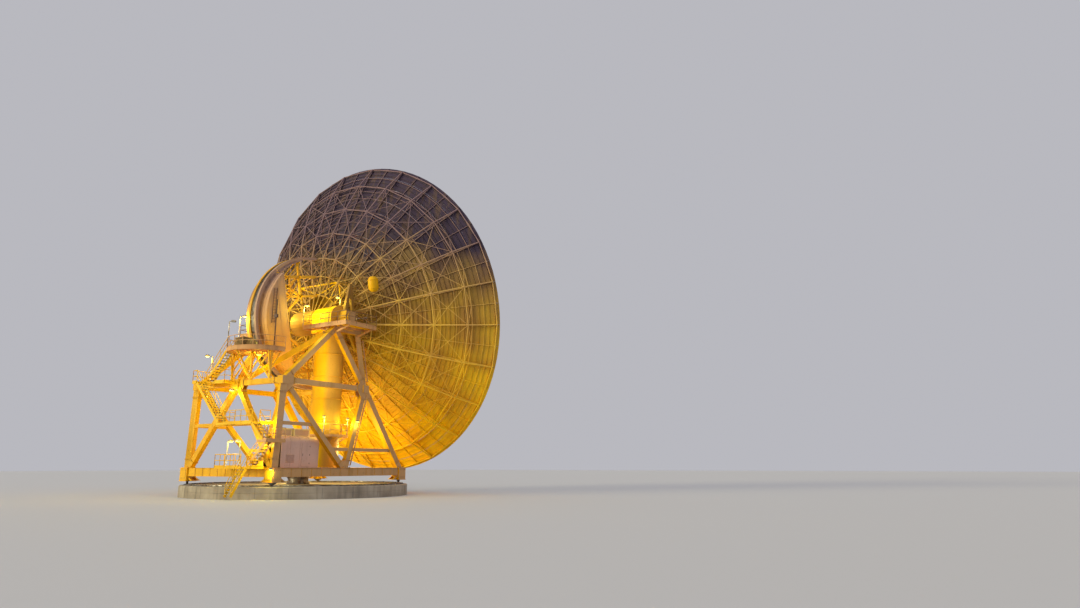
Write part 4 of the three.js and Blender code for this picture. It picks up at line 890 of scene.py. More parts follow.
# Stairs
# Flights with plate strings, grating treads and round handrails climb the rear face in two lanes,
# from the ground to the drive platform, with a landing between one flight and the next.
RISER = 0.24
OUT_EDGE, BETWEEN, IN_EDGE = LANE_OUT - FLIGHT_W / 2, -8.98, -7.85
UPPER_Z, MIDDLE_Z, TURN_Z, LOWER_Z = 10.3, 6.45, 4.9, BEAM_TOP + 0.11
UPPER_START, UPPER_STEP, UPPER_END = -3.75, -3.1, -0.3
MIDDLE_START, MIDDLE_FOOT, MIDDLE_END = 0.15, 0.45, 5.0
TURN_START, TURN_FOOT, TURN_END = 5.9, 6.5, 7.1
LOWER_START, LOWER_FOOT, LOWER_END = 0.5, 3.7, 5.3
GROUND_X, GROUND_Z, GROUND_RUN = 4.4, 0.25, 1.4
HANDRAIL, POST_R, POST_PITCH = 1.0, 0.026, 1.3
NEAR_EDGE = OUT_EDGE + 0.03     # the railings' line above the landings' outer edge
STAIR_PAINT = painted("stair_paint", "#f0bc10", "#dca81a", "#8f7030", 0.3)


def flight(form, foot, head):
    """Strings, treads and handrails between two points on the middle line of a flight."""
    foot, head = np.array(foot, float), np.array(head, float)
    steps = round((head[2] - foot[2]) / RISER)
    step = (head - foot) / steps
    ahead = step * (1, 1, 0)
    going = np.linalg.norm(ahead)
    ahead /= going
    aside = np.cross((0, 0, 1), ahead)
    across = aside * (FLIGHT_W / 2 - 0.03)
    for k in range(steps - 1):
        tread = foot + ahead * going * (k + 0.5)
        tread[2] = foot[2] + step[2] * (k + 1) - 0.02
        form.bar(tread - across, tread + across, going * 0.95, 0.04, finish=1)
        nose = tread - ahead * going * 0.47
        form.bar(nose - across, nose + across, 0.03, 0.06, finish=1)
    for side in (-1, 1):
        edge = aside * side * (FLIGHT_W / 2 - 0.015)
        form.bar(foot + edge + (0, 0, 0.03), head + edge - (0, 0, 0.13), 0.02, 0.26)
    for edge in (-across, across):
        for height in (HANDRAIL / 2, HANDRAIL):
            form.pipe(foot + edge + (0, 0, height), head + edge + (0, 0, height), RAIL_R, 8)
        count = max(2, round(np.linalg.norm(head - foot) / POST_PITCH))
        for k in range(count + 1):
            post = foot + (head - foot) * k / count + edge
            form.pipe(post, post + (0, 0, HANDRAIL), POST_R, 8)


def landing(form, x0, y0, x1, y1, level):
    """A grating deck with an edge channel all round."""
    grating(form, (x0 + 0.04, y0 + 0.04), (x1 - 0.04, y1 - 0.04), level)
    form.block((x0 + 0.03, y0 + 0.03, level - 0.1), (x1 - 0.03, y1 - 0.03, level - 0.085))
    edge = [(x0, y0), (x1, y0), (x1, y1), (x0, y1)]
    for (ax, ay), (bx, by) in zip(edge, edge[1:] + edge[:1]):
        inward = np.array((-(by - ay), bx - ax, 0.0))
        inward *= 0.015 / np.linalg.norm(inward)
        start, end = np.array((ax, ay, level - 0.08)), np.array((bx, by, level - 0.08))
        form.bar(start + inward, end + inward, 0.03, 0.2)


stair = Form()
flight(stair, (-3.0, LANE_IN, UPPER_Z), (STAIR_HEAD - 0.01, LANE_IN, DRIVE_Z))
make_piece("stair_to_drive", stair, "alidade", [STAIR_PAINT, GRATING], ["drive_stair"])

upper = Form()
landing(upper, UPPER_START, OUT_EDGE, UPPER_STEP, IN_EDGE, UPPER_Z)
landing(upper, UPPER_STEP, BETWEEN, UPPER_END, IN_EDGE, UPPER_Z)
flight(upper, (MIDDLE_FOOT, LANE_OUT, MIDDLE_Z), (UPPER_STEP, LANE_OUT, UPPER_Z))
railing(upper, [(UPPER_STEP - 0.03, NEAR_EDGE, UPPER_Z), (UPPER_START + 0.03, NEAR_EDGE, UPPER_Z),
                (UPPER_START + 0.03, IN_EDGE - 0.05, UPPER_Z)], 1.0)
railing(upper, [(-1.7, BETWEEN + 0.03, UPPER_Z), (UPPER_END - 0.03, BETWEEN + 0.03, UPPER_Z),
                (UPPER_END - 0.03, IN_EDGE - 0.05, UPPER_Z)])
make_piece("landing_upper", upper, "alidade", [STAIR_PAINT, GRATING], ["upper_landing"])

middle = Form()
landing(middle, MIDDLE_START, OUT_EDGE, MIDDLE_END, IN_EDGE, MIDDLE_Z)
flight(middle, (TURN_FOOT, LANE_OUT, TURN_Z), (MIDDLE_END, LANE_OUT, MIDDLE_Z))
railing(middle, [(MIDDLE_FOOT + 0.8, NEAR_EDGE, MIDDLE_Z), (MIDDLE_END - 0.03, NEAR_EDGE, MIDDLE_Z)],
        0.75)
for x in (MIDDLE_START + 0.03, MIDDLE_END - 0.03):
    railing(middle, [(x, BETWEEN + 0.03, MIDDLE_Z), (x, IN_EDGE - 0.05, MIDDLE_Z)])
make_piece("landing_middle", middle, "alidade", [STAIR_PAINT, GRATING], ["middle_landing"])

turn_deck = Form()
landing(turn_deck, TURN_START, OUT_EDGE, TURN_END, IN_EDGE, TURN_Z)
flight(turn_deck, (LOWER_FOOT, LANE_IN, LOWER_Z), (TURN_START, LANE_IN, TURN_Z))
railing(turn_deck, [(TURN_FOOT + 0.1, NEAR_EDGE, TURN_Z), (TURN_END - 0.03, NEAR_EDGE, TURN_Z),
                    (TURN_END - 0.03, IN_EDGE - 0.05, TURN_Z)], 0.8)
make_piece("landing_turn", turn_deck, "alidade", [PLATE_PAINT, GRATING], ["turn_landing"])

lower = Form()
landing(lower, LOWER_START, OUT_EDGE, LOWER_END, IN_EDGE, LOWER_Z)
flight(lower, (GROUND_X, OUT_EDGE - GROUND_RUN + 0.13, GROUND_Z), (GROUND_X, OUT_EDGE, LOWER_Z))
railing(lower, [(GROUND_X - FLIGHT_W / 2 - 0.03, NEAR_EDGE, LOWER_Z),
                (LOWER_START + 0.03, NEAR_EDGE, LOWER_Z), (LOWER_START + 0.03, IN_EDGE - 0.05, LOWER_Z)],
        0.75)
railing(lower, [(GROUND_X + FLIGHT_W / 2 + 0.03, NEAR_EDGE, LOWER_Z), (LOWER_END - 0.03, NEAR_EDGE, LOWER_Z),
                (LOWER_END - 0.03, BETWEEN, LOWER_Z)], 0.75)
make_piece("landing_lower", lower, "alidade", [STAIR_PAINT, GRATING], ["lower_landing"])

# Equipment cabin
# A closed cabin of pressed panels with a rounded shoulder rides on two skids beside the tube. It
# has louvred vents, a door with hinges and a handle, and two cooling units on its roof.
CABIN_X = (3.3, 5.45)
CABIN_Y = (-6.9, -2.65)
CABIN_LOW, CABIN_TOP = 2.62, 5.4
SHOULDER, LEFT_SHOULDER = 0.62, 0.2
CABIN_PANELS, CABIN_BAND_HALF = 4, 0.03
DOOR_Y, DOOR_Z = (-4.6, -3.7), (2.75, 4.75)
SKID_X = (3.6, 5.15)
UNIT_X, UNIT_HEIGHT = (3.75, 4.85), 0.62
CABIN_PAINT = painted("cabin_paint", "#dcb6a6", "#cca898", "#8a746c", 0.2)
UNIT_PAINT = painted("unit_paint", "#fbeeb4", "#f0dc94", "#a89468", 0.2)
cabin = Form()


def cabin_section(grow):
    """The end view of the cabin, anticlockwise, grown on every side."""
    x0, x1, low, top = CABIN_X[0] - grow, CABIN_X[1] + grow, CABIN_LOW - grow, CABIN_TOP + grow
    section = [(x0, low), (x1, low)]
    for turn in np.radians(np.arange(0, 91, 7.5)):
        section.append((x1 - SHOULDER * (1 - math.cos(turn)), top - SHOULDER * (1 - math.sin(turn))))
    for turn in np.radians(np.arange(90, 181, 15)):
        inward, drop = LEFT_SHOULDER * (1 + math.cos(turn)), LEFT_SHOULDER * (1 - math.sin(turn))
        section.append((x0 + inward, top - drop))
    return section


def extruded(form, section, y0, y1):
    """Runs an end view of (x, z) corners from one y to another."""
    form.joined([(x, y1, z) for x, z in section], [(x, y0, z) for x, z in section])


extruded(cabin, cabin_section(0), *CABIN_Y)
for y in np.linspace(*CABIN_Y, CABIN_PANELS + 1):
    first, last = max(CABIN_Y[0], y - CABIN_BAND_HALF), min(CABIN_Y[1], y + CABIN_BAND_HALF)
    extruded(cabin, cabin_section(0.018), first, last)
for z in np.arange(3.1, 3.75, VENT_PITCH):
    cabin.bar((CABIN_X[1] + 0.02, -6.3, z), (CABIN_X[1] + 0.02, -5.4, z), 0.03, 0.055, (0.6, 0, 1))
    cabin.bar((4.7, CABIN_Y[0] - 0.02, z), (5.25, CABIN_Y[0] - 0.02, z), 0.03, 0.055, (0, -0.6, 1))
cabin.block((CABIN_X[1], DOOR_Y[0], DOOR_Z[0]), (CABIN_X[1] + 0.03, DOOR_Y[1], DOOR_Z[1]))
hinge_x, hinge_y = CABIN_X[1] + 0.035, DOOR_Y[1] + 0.01
handle_x, handle_y = CABIN_X[1] + 0.06, DOOR_Y[0] + 0.1
for z in (3.0, 3.75, 4.5):
    cabin.pipe((hinge_x, hinge_y, z - 0.06), (hinge_x, hinge_y, z + 0.06), 0.02, 8, finish=1)
cabin.pipe((handle_x, handle_y, 3.65), (handle_x, handle_y, 3.85), 0.016, 8, finish=1)
for x in SKID_X:
    for y in (-BASE_Y + BEAM_W / 2, -BEAM_W / 2 - 0.14):
        cabin.block((x - 0.14, y, BEAM_TOP - 0.3), (x + 0.14, y + 0.14, BEAM_TOP))
    cabin.block((x - 0.1, -BASE_Y + BEAM_W / 2, BEAM_TOP - 0.24), (x + 0.1, -BEAM_W / 2, BEAM_TOP + 0.03))
for y0, y1 in ((-6.6, -5.3), (-5.1, -3.3)):
    cabin.block((UNIT_X[0], y0, CABIN_TOP - 0.02), (UNIT_X[1], y1, CABIN_TOP + UNIT_HEIGHT), 2)
    for z in np.arange(CABIN_TOP + 0.1, CABIN_TOP + 0.55, 0.08):
        cabin.bar((UNIT_X[1] + 0.01, y0 + 0.12, z), (UNIT_X[1] + 0.01, y1 - 0.12, z), 0.02, 0.05, (0.6, 0, 1))
    cabin.block((UNIT_X[0] - 0.05, y0 - 0.05, CABIN_TOP + UNIT_HEIGHT - 0.02),
                (UNIT_X[1] + 0.05, y1 + 0.05, CABIN_TOP + UNIT_HEIGHT + 0.04), 2)
make_piece("cabin_shell", cabin, "alidade", [CABIN_PAINT, BOLT_STEEL, UNIT_PAINT],
           ["equipment_cabin"])

# Reflector
# Curved aluminium panels with narrow gaps between them, in rings round the open centre. Every
# panel has thin stiffeners across its back and a channel along each side.
VERTEX, FOCAL = 3.11, 11.0
RIM_R = 17.0
SHEET = 0.03
PANEL_RINGS = [1.25, 2.9, 4.85, 6.75, 8.1, 9.4, 10.75, 12.1, 13.45, 14.8, 15.9, RIM_R]
SECTORS = 48
GAP = 0.007
STIFFENER_START, STIFFENER_PITCH, STIFFENER_DEPTH = 3.2, 0.42, 0.1
CHANNEL_DEPTH = 0.07
TIPPING = Matrix.Translation((0, 0, AXIS_Z)) @ Matrix.Rotation(math.radians(12), 4, "X")
QUARTERS = {"upper_right": 0, "upper_left": 1, "lower_left": 2, "lower_right": 3}


def dish(radius):
    """How far along the boresight the reflecting surface lies at a radius."""
    return VERTEX + radius ** 2 / (4 * FOCAL)


def around(radius, along, turn):
    """A point of the tipping frame, with its boresight along Y."""
    return np.array((radius * math.cos(turn), along, radius * math.sin(turn)))


FACE_PAINT = painted("face_paint", "#ddd3bd", "#cfc3a8", "#a3937a", 0.3)
# Painted shade: the panel backs and the back frame darken to a purplish brown towards the top.
BACK_PAINT = painted("back_paint", "#ffcc00", "#f6b800", "#94742a", 0.3, ("#3c3042", 8, 27))
FRAME_PAINT = painted("frame_paint", "#ffd010", "#f2bc18", "#8f6c38", 0.25, ("#82696e", 10, 29))


def panel(form, inner, outer, first, last):
    """One curved panel: a front sheet and a back sheet joined round its edges."""
    radii = np.linspace(inner + GAP, outer - GAP if outer < RIM_R else outer, 4)
    corners, faces = [], []
    for depth in (0, SHEET):
        for radius in radii:
            slack = GAP / radius
            for turn in np.linspace(first + slack, last - slack, 3):
                corners.append(around(radius, dish(radius) - depth, turn))
    rows, wide = len(radii), 3
    half = rows * wide
    for i in range(rows - 1):
        for j in range(wide - 1):
            a, b = i * wide + j, (i + 1) * wide + j
            faces.append((a, a + 1, b + 1, b))
            faces.append((half + a, half + b, half + b + 1, half + a + 1))
    rim = [*range(0, wide), *range(2 * wide - 1, half, wide), *range(half - 2, half - wide - 1, -1),
           *range(half - 2 * wide, 0, -wide)]
    for here, there in zip(rim, rim[1:] + rim[:1]):
        faces.append((here, half + here, half + there, there))
    front = [k for k in range(len(faces)) if max(faces[k]) < half]
    form.add(corners, faces, 1)
    for k in front:
        form.finishes[len(form.finishes) - len(faces) + k] = 0


for quarter, index in QUARTERS.items():
    form = Form()
    span = 2 * math.pi / SECTORS
    for sector in range(index * SECTORS // 4, (index + 1) * SECTORS // 4):
        first, last = sector * span, (sector + 1) * span
        for inner, outer in zip(PANEL_RINGS, PANEL_RINGS[1:]):
            panel(form, inner, outer, first, last)
        for radius in np.arange(STIFFENER_START, RIM_R - 0.1, STIFFENER_PITCH):
            edge = 0.05 / radius
            behind = dish(radius) - SHEET - STIFFENER_DEPTH / 2
            start, end = around(radius, behind, first + edge), around(radius, behind, last - edge)
            form.bar(start, end, 0.03, STIFFENER_DEPTH, (0, 1, 0), 1)
        for inner, outer in zip(PANEL_RINGS[1:], PANEL_RINGS[2:]):
            for turn in (first, last):
                slack = (1 if turn == first else -1) * 0.035 / outer
                start = around(inner + 0.03, dish(inner) - SHEET - CHANNEL_DEPTH / 2, turn + slack)
                end = around(outer - 0.03, dish(outer) - SHEET - CHANNEL_DEPTH / 2, turn + slack)
                form.bar(start, end, 0.03, CHANNEL_DEPTH, (0, 1, 0), 1)
    make_piece(f"panels_{quarter}", form, "tipping_dish", [FACE_PAINT, BACK_PAINT],
               [f"reflector_{quarter}"], TIPPING)

# Back frame
# Twenty-four radial trusses of welded tube stand behind the panels, tied by hoops at every panel
# joint, with struts in each bay of the hoops and diagonals across the rear.
RING_R = [2.9, 4.85, 6.75, 9.4, 12.1, 14.8]
RING_DEPTH = [1.8, 2.04, 2.15, 1.79, 1.3, 0.88]
RIM_RING_R, RIM_RING_DEPTH = 16.88, 0.25
RIBS = 24
FRONT_CHORD = 0.15
rear_line = [(radius, dish(radius) - depth) for radius, depth in zip(RING_R, RING_DEPTH)]
rear_line.append((RIM_RING_R, dish(RIM_RING_R) - RIM_RING_DEPTH))
front_line = [(radius, dish(radius) - FRONT_CHORD) for radius in (*RING_R, RIM_RING_R - 0.08)]


def halfway(first, second):
    """The middle of two (radius, along) points, set back to the line of the panels."""
    radius = (first[0] + second[0]) / 2
    return radius, dish(radius) - FRONT_CHORD


for quarter, index in QUARTERS.items():
    form = Form()
    pitch = 2 * math.pi / RIBS
    for rib in range(index * RIBS // 4, (index + 1) * RIBS // 4):
        turn = (rib + 0.5) * pitch
        after = turn + pitch
        for bay, (rear, next_rear) in enumerate(zip(rear_line, rear_line[1:])):
            front, next_front = front_line[bay], front_line[bay + 1]
            centre = halfway(front, next_front)
            form.pipe(around(*rear, turn), around(*next_rear, turn), 0.07, 8)
            form.pipe(around(*front, turn), around(*centre, turn), 0.05, 6)
            form.pipe(around(*centre, turn), around(*next_front, turn), 0.05, 6)
            form.pipe(around(*rear, turn), around(*front, turn), 0.045, 6)
            form.pipe(around(*rear, turn), around(*centre, turn), 0.04, 6)
            form.pipe(around(*next_rear, turn), around(*centre, turn), 0.04, 6)
        for bay, (rear, front) in enumerate(zip(rear_line[1:], front_line[1:]), 1):
            between = around(*front, turn + pitch / 2)
            form.pipe(around(*rear, turn), around(*rear, after), 0.05, 6)
            form.pipe(around(*front, turn), between, 0.04, 6)
            form.pipe(between, around(*front, after), 0.04, 6)
            if bay < len(rear_line) - 1:
                form.pipe(around(*rear, turn), between, 0.035, 5)
                form.pipe(around(*rear, after), between, 0.035, 5)
                inner_rear = rear_line[bay - 1]
                form.pipe(around(*inner_rear, turn), around(*rear, after), 0.032, 5)
                form.pipe(around(*inner_rear, after), around(*rear, turn), 0.032, 5)
                inside = front[0] - 0.5, dish(front[0] - 0.5) - FRONT_CHORD
                form.pipe(around(*inside, turn), around(*inside, after), 0.03, 5)
        for inner, outer in zip(front_line[1:], front_line[2:]):
            centre = halfway(inner, outer)
            form.pipe(around(*inner, turn + pitch / 2), around(*centre, turn + pitch / 2), 0.035, 5)
            form.pipe(around(*centre, turn + pitch / 2), around(*outer, turn + pitch / 2), 0.035, 5)
            form.pipe(around(*centre, turn), around(*centre, turn + pitch / 2), 0.03, 5)
            form.pipe(around(*centre, turn + pitch / 2), around(*centre, after), 0.03, 5)
    make_piece(f"trusses_{quarter}", form, "tipping_dish", [FRAME_PAINT],
               [f"back_frame_{quarter}"], TIPPING)

# Hub and feed shroud
# A deep welded ring at the middle of the back frame carries the tipping stretch of the beam tube,
# inside a square frame of heavy bars. A cone of thin plate closes the centre of the reflector, and a
# rounded equipment pod hangs from the rear chords to the right of the hub.
dress(BACK_PAINT, "reflector_hub")
HUB_REAR, HUB_R, DRUM_END = 1.42, 2.9, 1.3
hub = Form()
for k in range(RIBS):
    turn = (k + 0.5) * 2 * math.pi / RIBS
    hub.pipe(around(HUB_R - 0.05, HUB_REAR, turn), around(DRUM_END, 0.75, turn), 0.045, 6)
    hub.pipe(around(rear_line[1][0], rear_line[1][1], turn), around(HUB_R, HUB_REAR + 0.05, turn), 0.05, 6)
BOX_X, BOX_Y, BOX_FRONT, BOX_Z = 2.85, 1.95, 3.4, 3.92
for sx in (-1, 1):
    hub.bar((-BOX_X, BOX_Y, sx * BOX_Z), (BOX_X, BOX_Y, sx * BOX_Z), 0.17, 0.17, finish=1)
    hub.bar((sx * BOX_X, BOX_Y, -BOX_Z), (sx * BOX_X, BOX_Y, BOX_Z), 0.17, 0.17, (0, 1, 0), 1)
    for sz in (-1, 1):
        corner = np.array((sx * BOX_X, BOX_Y, sz * BOX_Z))
        hub.bar(corner, (sx * BOX_X, BOX_FRONT, sz * (BOX_Z - 0.4)), 0.15, 0.15, finish=1)
        hub.bar(corner, (0, BOX_Y - 0.3, sz * HUB_R), 0.09, 0.09, finish=1)
        hub.bar(corner, (sx * HUB_R, BOX_Y - 0.3, 0), 0.09, 0.09, finish=1)
make_piece("hub_struts", hub, "tipping_dish", [FRAME_PAINT, TUBE_PAINT], place=TIPPING)
POD_X, POD_Y, POD_Z = 7.45, 1.95, 3.12
POD_R, POD_STRAP_HALF = 0.5, 0.03
pod = Form()
pod_half = [(POD_R, 0.35), (0.42, 0.6), (0.26, 0.76), (0, 0.8)]
pod.turned([(radius, -level) for radius, level in pod_half[::-1]] + pod_half, 32)
for level in (-0.4, 0.4):
    pod.turned([(POD_R - 0.01, level - POD_STRAP_HALF), (POD_R + 0.03, level - POD_STRAP_HALF),
                (POD_R + 0.03, level + POD_STRAP_HALF), (POD_R - 0.01, level + POD_STRAP_HALF)], 32)
    for x in (-0.3, 0.3):
        pod.bar((x, 0.3, level), (x * 1.6, 0.85, level * 1.4), 0.06, 0.06, finish=1)
make_piece("equipment_pod", pod, "tipping_dish", [TOWER_PAINT, FRAME_PAINT],
           place=TIPPING @ Matrix.Translation((POD_X, POD_Y, POD_Z)))
SHROUD_LOW, SHROUD_TOP, SHROUD_R = 2.9, 4.7, 1.15
shroud = Form()
shroud.turned([(0, SHROUD_LOW), (SHROUD_R, SHROUD_LOW), (SHROUD_R, SHROUD_LOW + 0.5),
               (SHROUD_R + 0.03, SHROUD_LOW + 0.5), (SHROUD_R + 0.03, SHROUD_LOW + 0.56),
               (SHROUD_R - 0.05, SHROUD_LOW + 0.6), (SHROUD_R - 0.15, SHROUD_TOP - 0.06),
               (SHROUD_R - 0.12, SHROUD_TOP - 0.06), (SHROUD_R - 0.12, SHROUD_TOP),
               (SHROUD_R - 0.2, SHROUD_TOP), (SHROUD_R - 0.22, SHROUD_TOP - 0.02),
               (0, SHROUD_TOP - 0.02)], 72, "Y")
for turn in np.radians(np.arange(0, 360, 20)):
    spot = around(SHROUD_R - 0.16, SHROUD_TOP - 0.03, turn)
    shroud.pipe(spot, spot + (0, 0.04, 0), 0.018, 6)
make_piece("shroud_cone", shroud, "tipping_dish", [FACE_PAINT], ["feed_shroud"], TIPPING)

# Side frames
# A welded triangle of box section runs from each shaft to the back frame.
dress(BACK_PAINT, "side_frame_left", "side_frame_right")

# Elevation wheel
# A half rim, which tapers to its two tips, carries the toothed rack between two flanges. A plated
# segment closes its rear, and an open web of square bars ties it to the hub and to the back frame.
GEAR_R, GEAR_BORE, GEAR_LEFT, GEAR_RIGHT, GEAR_CHORD = 6.74, 5.7, -0.7, 0.35, -3.65
RACK_HALF, RACK_DEPTH = 0.26, 0.16
LEFT_FLANGE, RIGHT_FLANGE, TIP_DEPTH = 0.45, 0.28, 0.16
RIM_RIBS_PITCH, TEETH_PITCH = 7.25, 0.8
# Painted shade: the wheel and ballast paint turns lavender brown towards the top.
WHEEL_PAINT = painted("wheel_paint", "#f2b44c", "#e0a448", "#97724a", 0.3, ("#a4867a", 15, 23))
OUTER_PAINT = painted("outer_paint", "#dba42c", "#c9942c", "#8a683c", 0.3)
# The right flange is painted lavender tan as painted shade; the left flange is golden.
SHADED_FLANGE_PAINT = painted("shaded_flange_paint", "#b8957c", "#a4846e", "#6f5a52", 0.3)
wheel = Form()
HALF_TURN = (92, 268)
TAPER_START, TAPER_END = math.radians(42), math.radians(HALF_TURN[1] - 180)
RACK_FLOOR = GEAR_R - RACK_DEPTH


def half_ring(inner, outer, x0, x1, finish=0):
    """Half a ring of the wheel between two radii and two x."""
    wheel.turned([(inner, x0), (outer, x0), (outer, x1), (inner, x1)], 120, "X", HALF_TURN, finish)


def bore(turn):
    """The rim's inner radius, which grows towards both tips."""
    share = max(0.0, abs(turn - math.pi) - TAPER_START) / (TAPER_END - TAPER_START)
    return GEAR_BORE + (RACK_FLOOR - TIP_DEPTH - GEAR_BORE) * share ** 0.8


def rim_ring(outer, x0, x1):
    """The tapered rim between two x, out to a radius or, without one, as a thin lining of its bore."""
    turns = np.radians(np.linspace(HALF_TURN[0], HALF_TURN[1], 97))
    inner_line = [(bore(turn) * math.cos(turn), bore(turn) * math.sin(turn)) for turn in turns]
    reach = [outer or bore(turn) + 0.1 for turn in turns]
    outer_line = [(far * math.cos(turn), far * math.sin(turn)) for far, turn in zip(reach, turns)]
    prism(wheel, outer_line + inner_line[::-1], x0, x1)


rim_ring(RACK_FLOOR, GEAR_LEFT + 0.09, GEAR_RIGHT - 0.09)
rim_ring(None, GEAR_LEFT, GEAR_RIGHT)
half_ring(GEAR_R - LEFT_FLANGE, GEAR_R, GEAR_LEFT, GEAR_X - RACK_HALF, 2)
half_ring(GEAR_R - RIGHT_FLANGE, GEAR_R, GEAR_X + RACK_HALF, GEAR_RIGHT, 3)
rack_left, rack_right = GEAR_X - RACK_HALF + 0.01, GEAR_X + RACK_HALF - 0.01
half_ring(RACK_FLOOR - 0.01, RACK_FLOOR + 0.02, rack_left, rack_right, 1)
for turn in np.radians(np.arange(HALF_TURN[0] + 0.3, HALF_TURN[1], TEETH_PITCH)):
    outward = np.array((0, math.cos(turn), math.sin(turn)))
    foot = outward * (RACK_FLOOR + 0.02)
    wheel.bar(foot + (rack_left, 0, 0), foot + (rack_right, 0, 0), 0.045, 0.12, outward, 1)
for turn in np.radians(np.arange(HALF_TURN[0] + 1, HALF_TURN[1], RIM_RIBS_PITCH)):
    outward = np.array((0, math.cos(turn), math.sin(turn)))
    for x in (GEAR_LEFT + 0.06, GEAR_RIGHT - 0.06):
        foot, head = outward * (bore(turn) + 0.08) + (x, 0, 0), outward * (GEAR_R - 0.2) + (x, 0, 0)
        wheel.bar(foot, head, 0.06, 0.03, (0, -outward[2], outward[1]))


def round_back(radius, chord):
    """The end view of a segment: a straight edge in front and an arc behind, anticlockwise."""
    reach = math.acos(-chord / radius)
    return [(-radius * math.cos(turn), radius * math.sin(turn)) for turn in np.linspace(reach, -reach, 49)]


prism(wheel, round_back(GEAR_BORE + 0.06, GEAR_CHORD), GEAR_LEFT + 0.02, GEAR_RIGHT - 0.02)
hoop_up, next_up = (radius * math.cos(math.pi / RIBS) for radius, _ in rear_line[1:3])
hub_up = HUB_R - 0.08
WEB_REAR, WEB_MIDDLE, WEB_POST = GEAR_CHORD - 0.1, -2.2, -0.6
POST_TOP = 6.36                 # where the web's post meets the rim
WEB_HEAVY, WEB_BAR, WEB_LACE, WEB_STRUT = 0.26, 0.2, 0.1, 0.12
WEB_SIDE, STRUT_HALF = 0.4, 0.42
web_bars = [
    ((WEB_REAR, hoop_up), (rear_line[1][1] - 0.05, hoop_up), WEB_HEAVY),
    ((-0.4, next_up), (rear_line[2][1] - 0.05, next_up), WEB_HEAVY),
    ((WEB_REAR, hub_up), (1.49, hub_up), WEB_BAR), ((WEB_POST, hub_up), (WEB_POST, POST_TOP), WEB_BAR),
    ((WEB_REAR, hoop_up), (WEB_POST, hub_up), WEB_BAR), ((WEB_REAR, hub_up), (WEB_POST, hoop_up), WEB_BAR),
    ((WEB_REAR, 0.35), (WEB_POST, hub_up), WEB_BAR),
]
web_laces = [
    ((GEAR_CHORD, 5.2), (WEB_MIDDLE, hoop_up)), ((GEAR_CHORD, 3.8), (WEB_MIDDLE, hoop_up)),
    ((GEAR_CHORD, 3.8), (WEB_MIDDLE, hub_up)), ((GEAR_CHORD, 1.6), (WEB_MIDDLE, hub_up)),
    ((WEB_MIDDLE, hub_up), (WEB_MIDDLE, hoop_up)), ((WEB_MIDDLE, hoop_up), (WEB_POST, POST_TOP - 0.06)),
    ((WEB_MIDDLE, hub_up), (WEB_POST, hoop_up)),
]
for end in (-1, 1):
    for (y0, z0), (y1, z1), width in web_bars:
        finish = 0 if z0 == next_up else 4
        wheel.bar((GEAR_X, y0, end * z0), (GEAR_X, y1, end * z1), width, width, (1, 0, 0), finish)
    for x in (GEAR_X - WEB_SIDE, GEAR_X + WEB_SIDE):
        for (y0, z0), (y1, z1) in web_laces:
            wheel.bar((x, y0, end * z0), (x, y1, end * z1), WEB_LACE, WEB_LACE, (1, 0, 0), 4)
    for y in (WEB_MIDDLE, WEB_POST):
        for z in (hoop_up, hub_up):
            left, right = (GEAR_X - STRUT_HALF, y, end * z), (GEAR_X + STRUT_HALF, y, end * z)
            wheel.bar(left, right, WEB_STRUT, WEB_STRUT, finish=4)
make_piece("gear_wheel", wheel, "tipping_dish",
           [WHEEL_PAINT, RAIL_STEEL, OUTER_PAINT, SHADED_FLANGE_PAINT, TUBE_PAINT], ["elevation_wheel"], TIPPING)

# Counterweights
# A round-backed steel box filled with ballast is bolted to each face of the wheel. Flat bars cover
# its seams, and a slanted ladder climbs its outer face.
WEIGHT_R, WEIGHT_REACH, SEAM_REACH = 6.25, 0.93, 0.945
LADDER_Y, LADDER_Z, LADDER_LEAN, LADDER_RISE, LADDER_W, RUNGS = -5.7, 0.2, 0.72, 3.3, 0.36, 12
LADDER_DARK = painted("ladder_dark", "#8a6450", "#775544", "#4c3a30", 0.3)


def half_chord(level):
    """Half the length of a seam across the round back, at a distance from its middle."""
    return math.sqrt((WEIGHT_R - 0.06) ** 2 - level ** 2)


for side, face, sx in (("left", GEAR_LEFT, -1), ("right", GEAR_RIGHT, 1)):
    weight = Form()
    box_ends = sorted((face + sx * 0.01, face + sx * WEIGHT_REACH))
    prism(weight, round_back(WEIGHT_R - 0.03, GEAR_CHORD - 0.02), *box_ends)
    for inner_x, outer_x in ((0.001, 0.05), (0.47, 0.53), (0.9, SEAM_REACH)):
        band_ends = sorted((face + sx * inner_x, face + sx * outer_x))
        prism(weight, round_back(WEIGHT_R, GEAR_CHORD - 0.01), *band_ends)
    seam_x, ladder_x = face + sx * SEAM_REACH, face + sx * 0.98
    for y in (-5.35, -4.5, GEAR_CHORD - 0.08):
        weight.bar((seam_x, y, -half_chord(y)), (seam_x, y, half_chord(y)), 0.04, 0.12, (0, 1, 0))
    for z in np.arange(-4.8, 4.9, 1.2):
        weight.bar((seam_x, -half_chord(z), z), (seam_x, GEAR_CHORD - 0.02, z), 0.03, 0.1, (0, 0, 1))
    for foot_y in (LADDER_Y, LADDER_Y + LADDER_W):
        foot, head = (ladder_x, foot_y, LADDER_Z), (ladder_x, foot_y + LADDER_LEAN, LADDER_Z + LADDER_RISE)
        weight.bar(foot, head, 0.03, 0.07, (0, 1, 0), 1)
    for share in np.linspace(0.03, 0.97, RUNGS):
        rung_y, rung_z = LADDER_Y + LADDER_LEAN * share, LADDER_Z + LADDER_RISE * share
        weight.bar((ladder_x, rung_y, rung_z), (ladder_x, rung_y + LADDER_W, rung_z), 0.03, 0.035, finish=1)
    make_piece(f"ballast_box_{side}", weight, "tipping_dish", [WHEEL_PAINT, LADDER_DARK],
               [f"counterweight_{side}"], TIPPING)

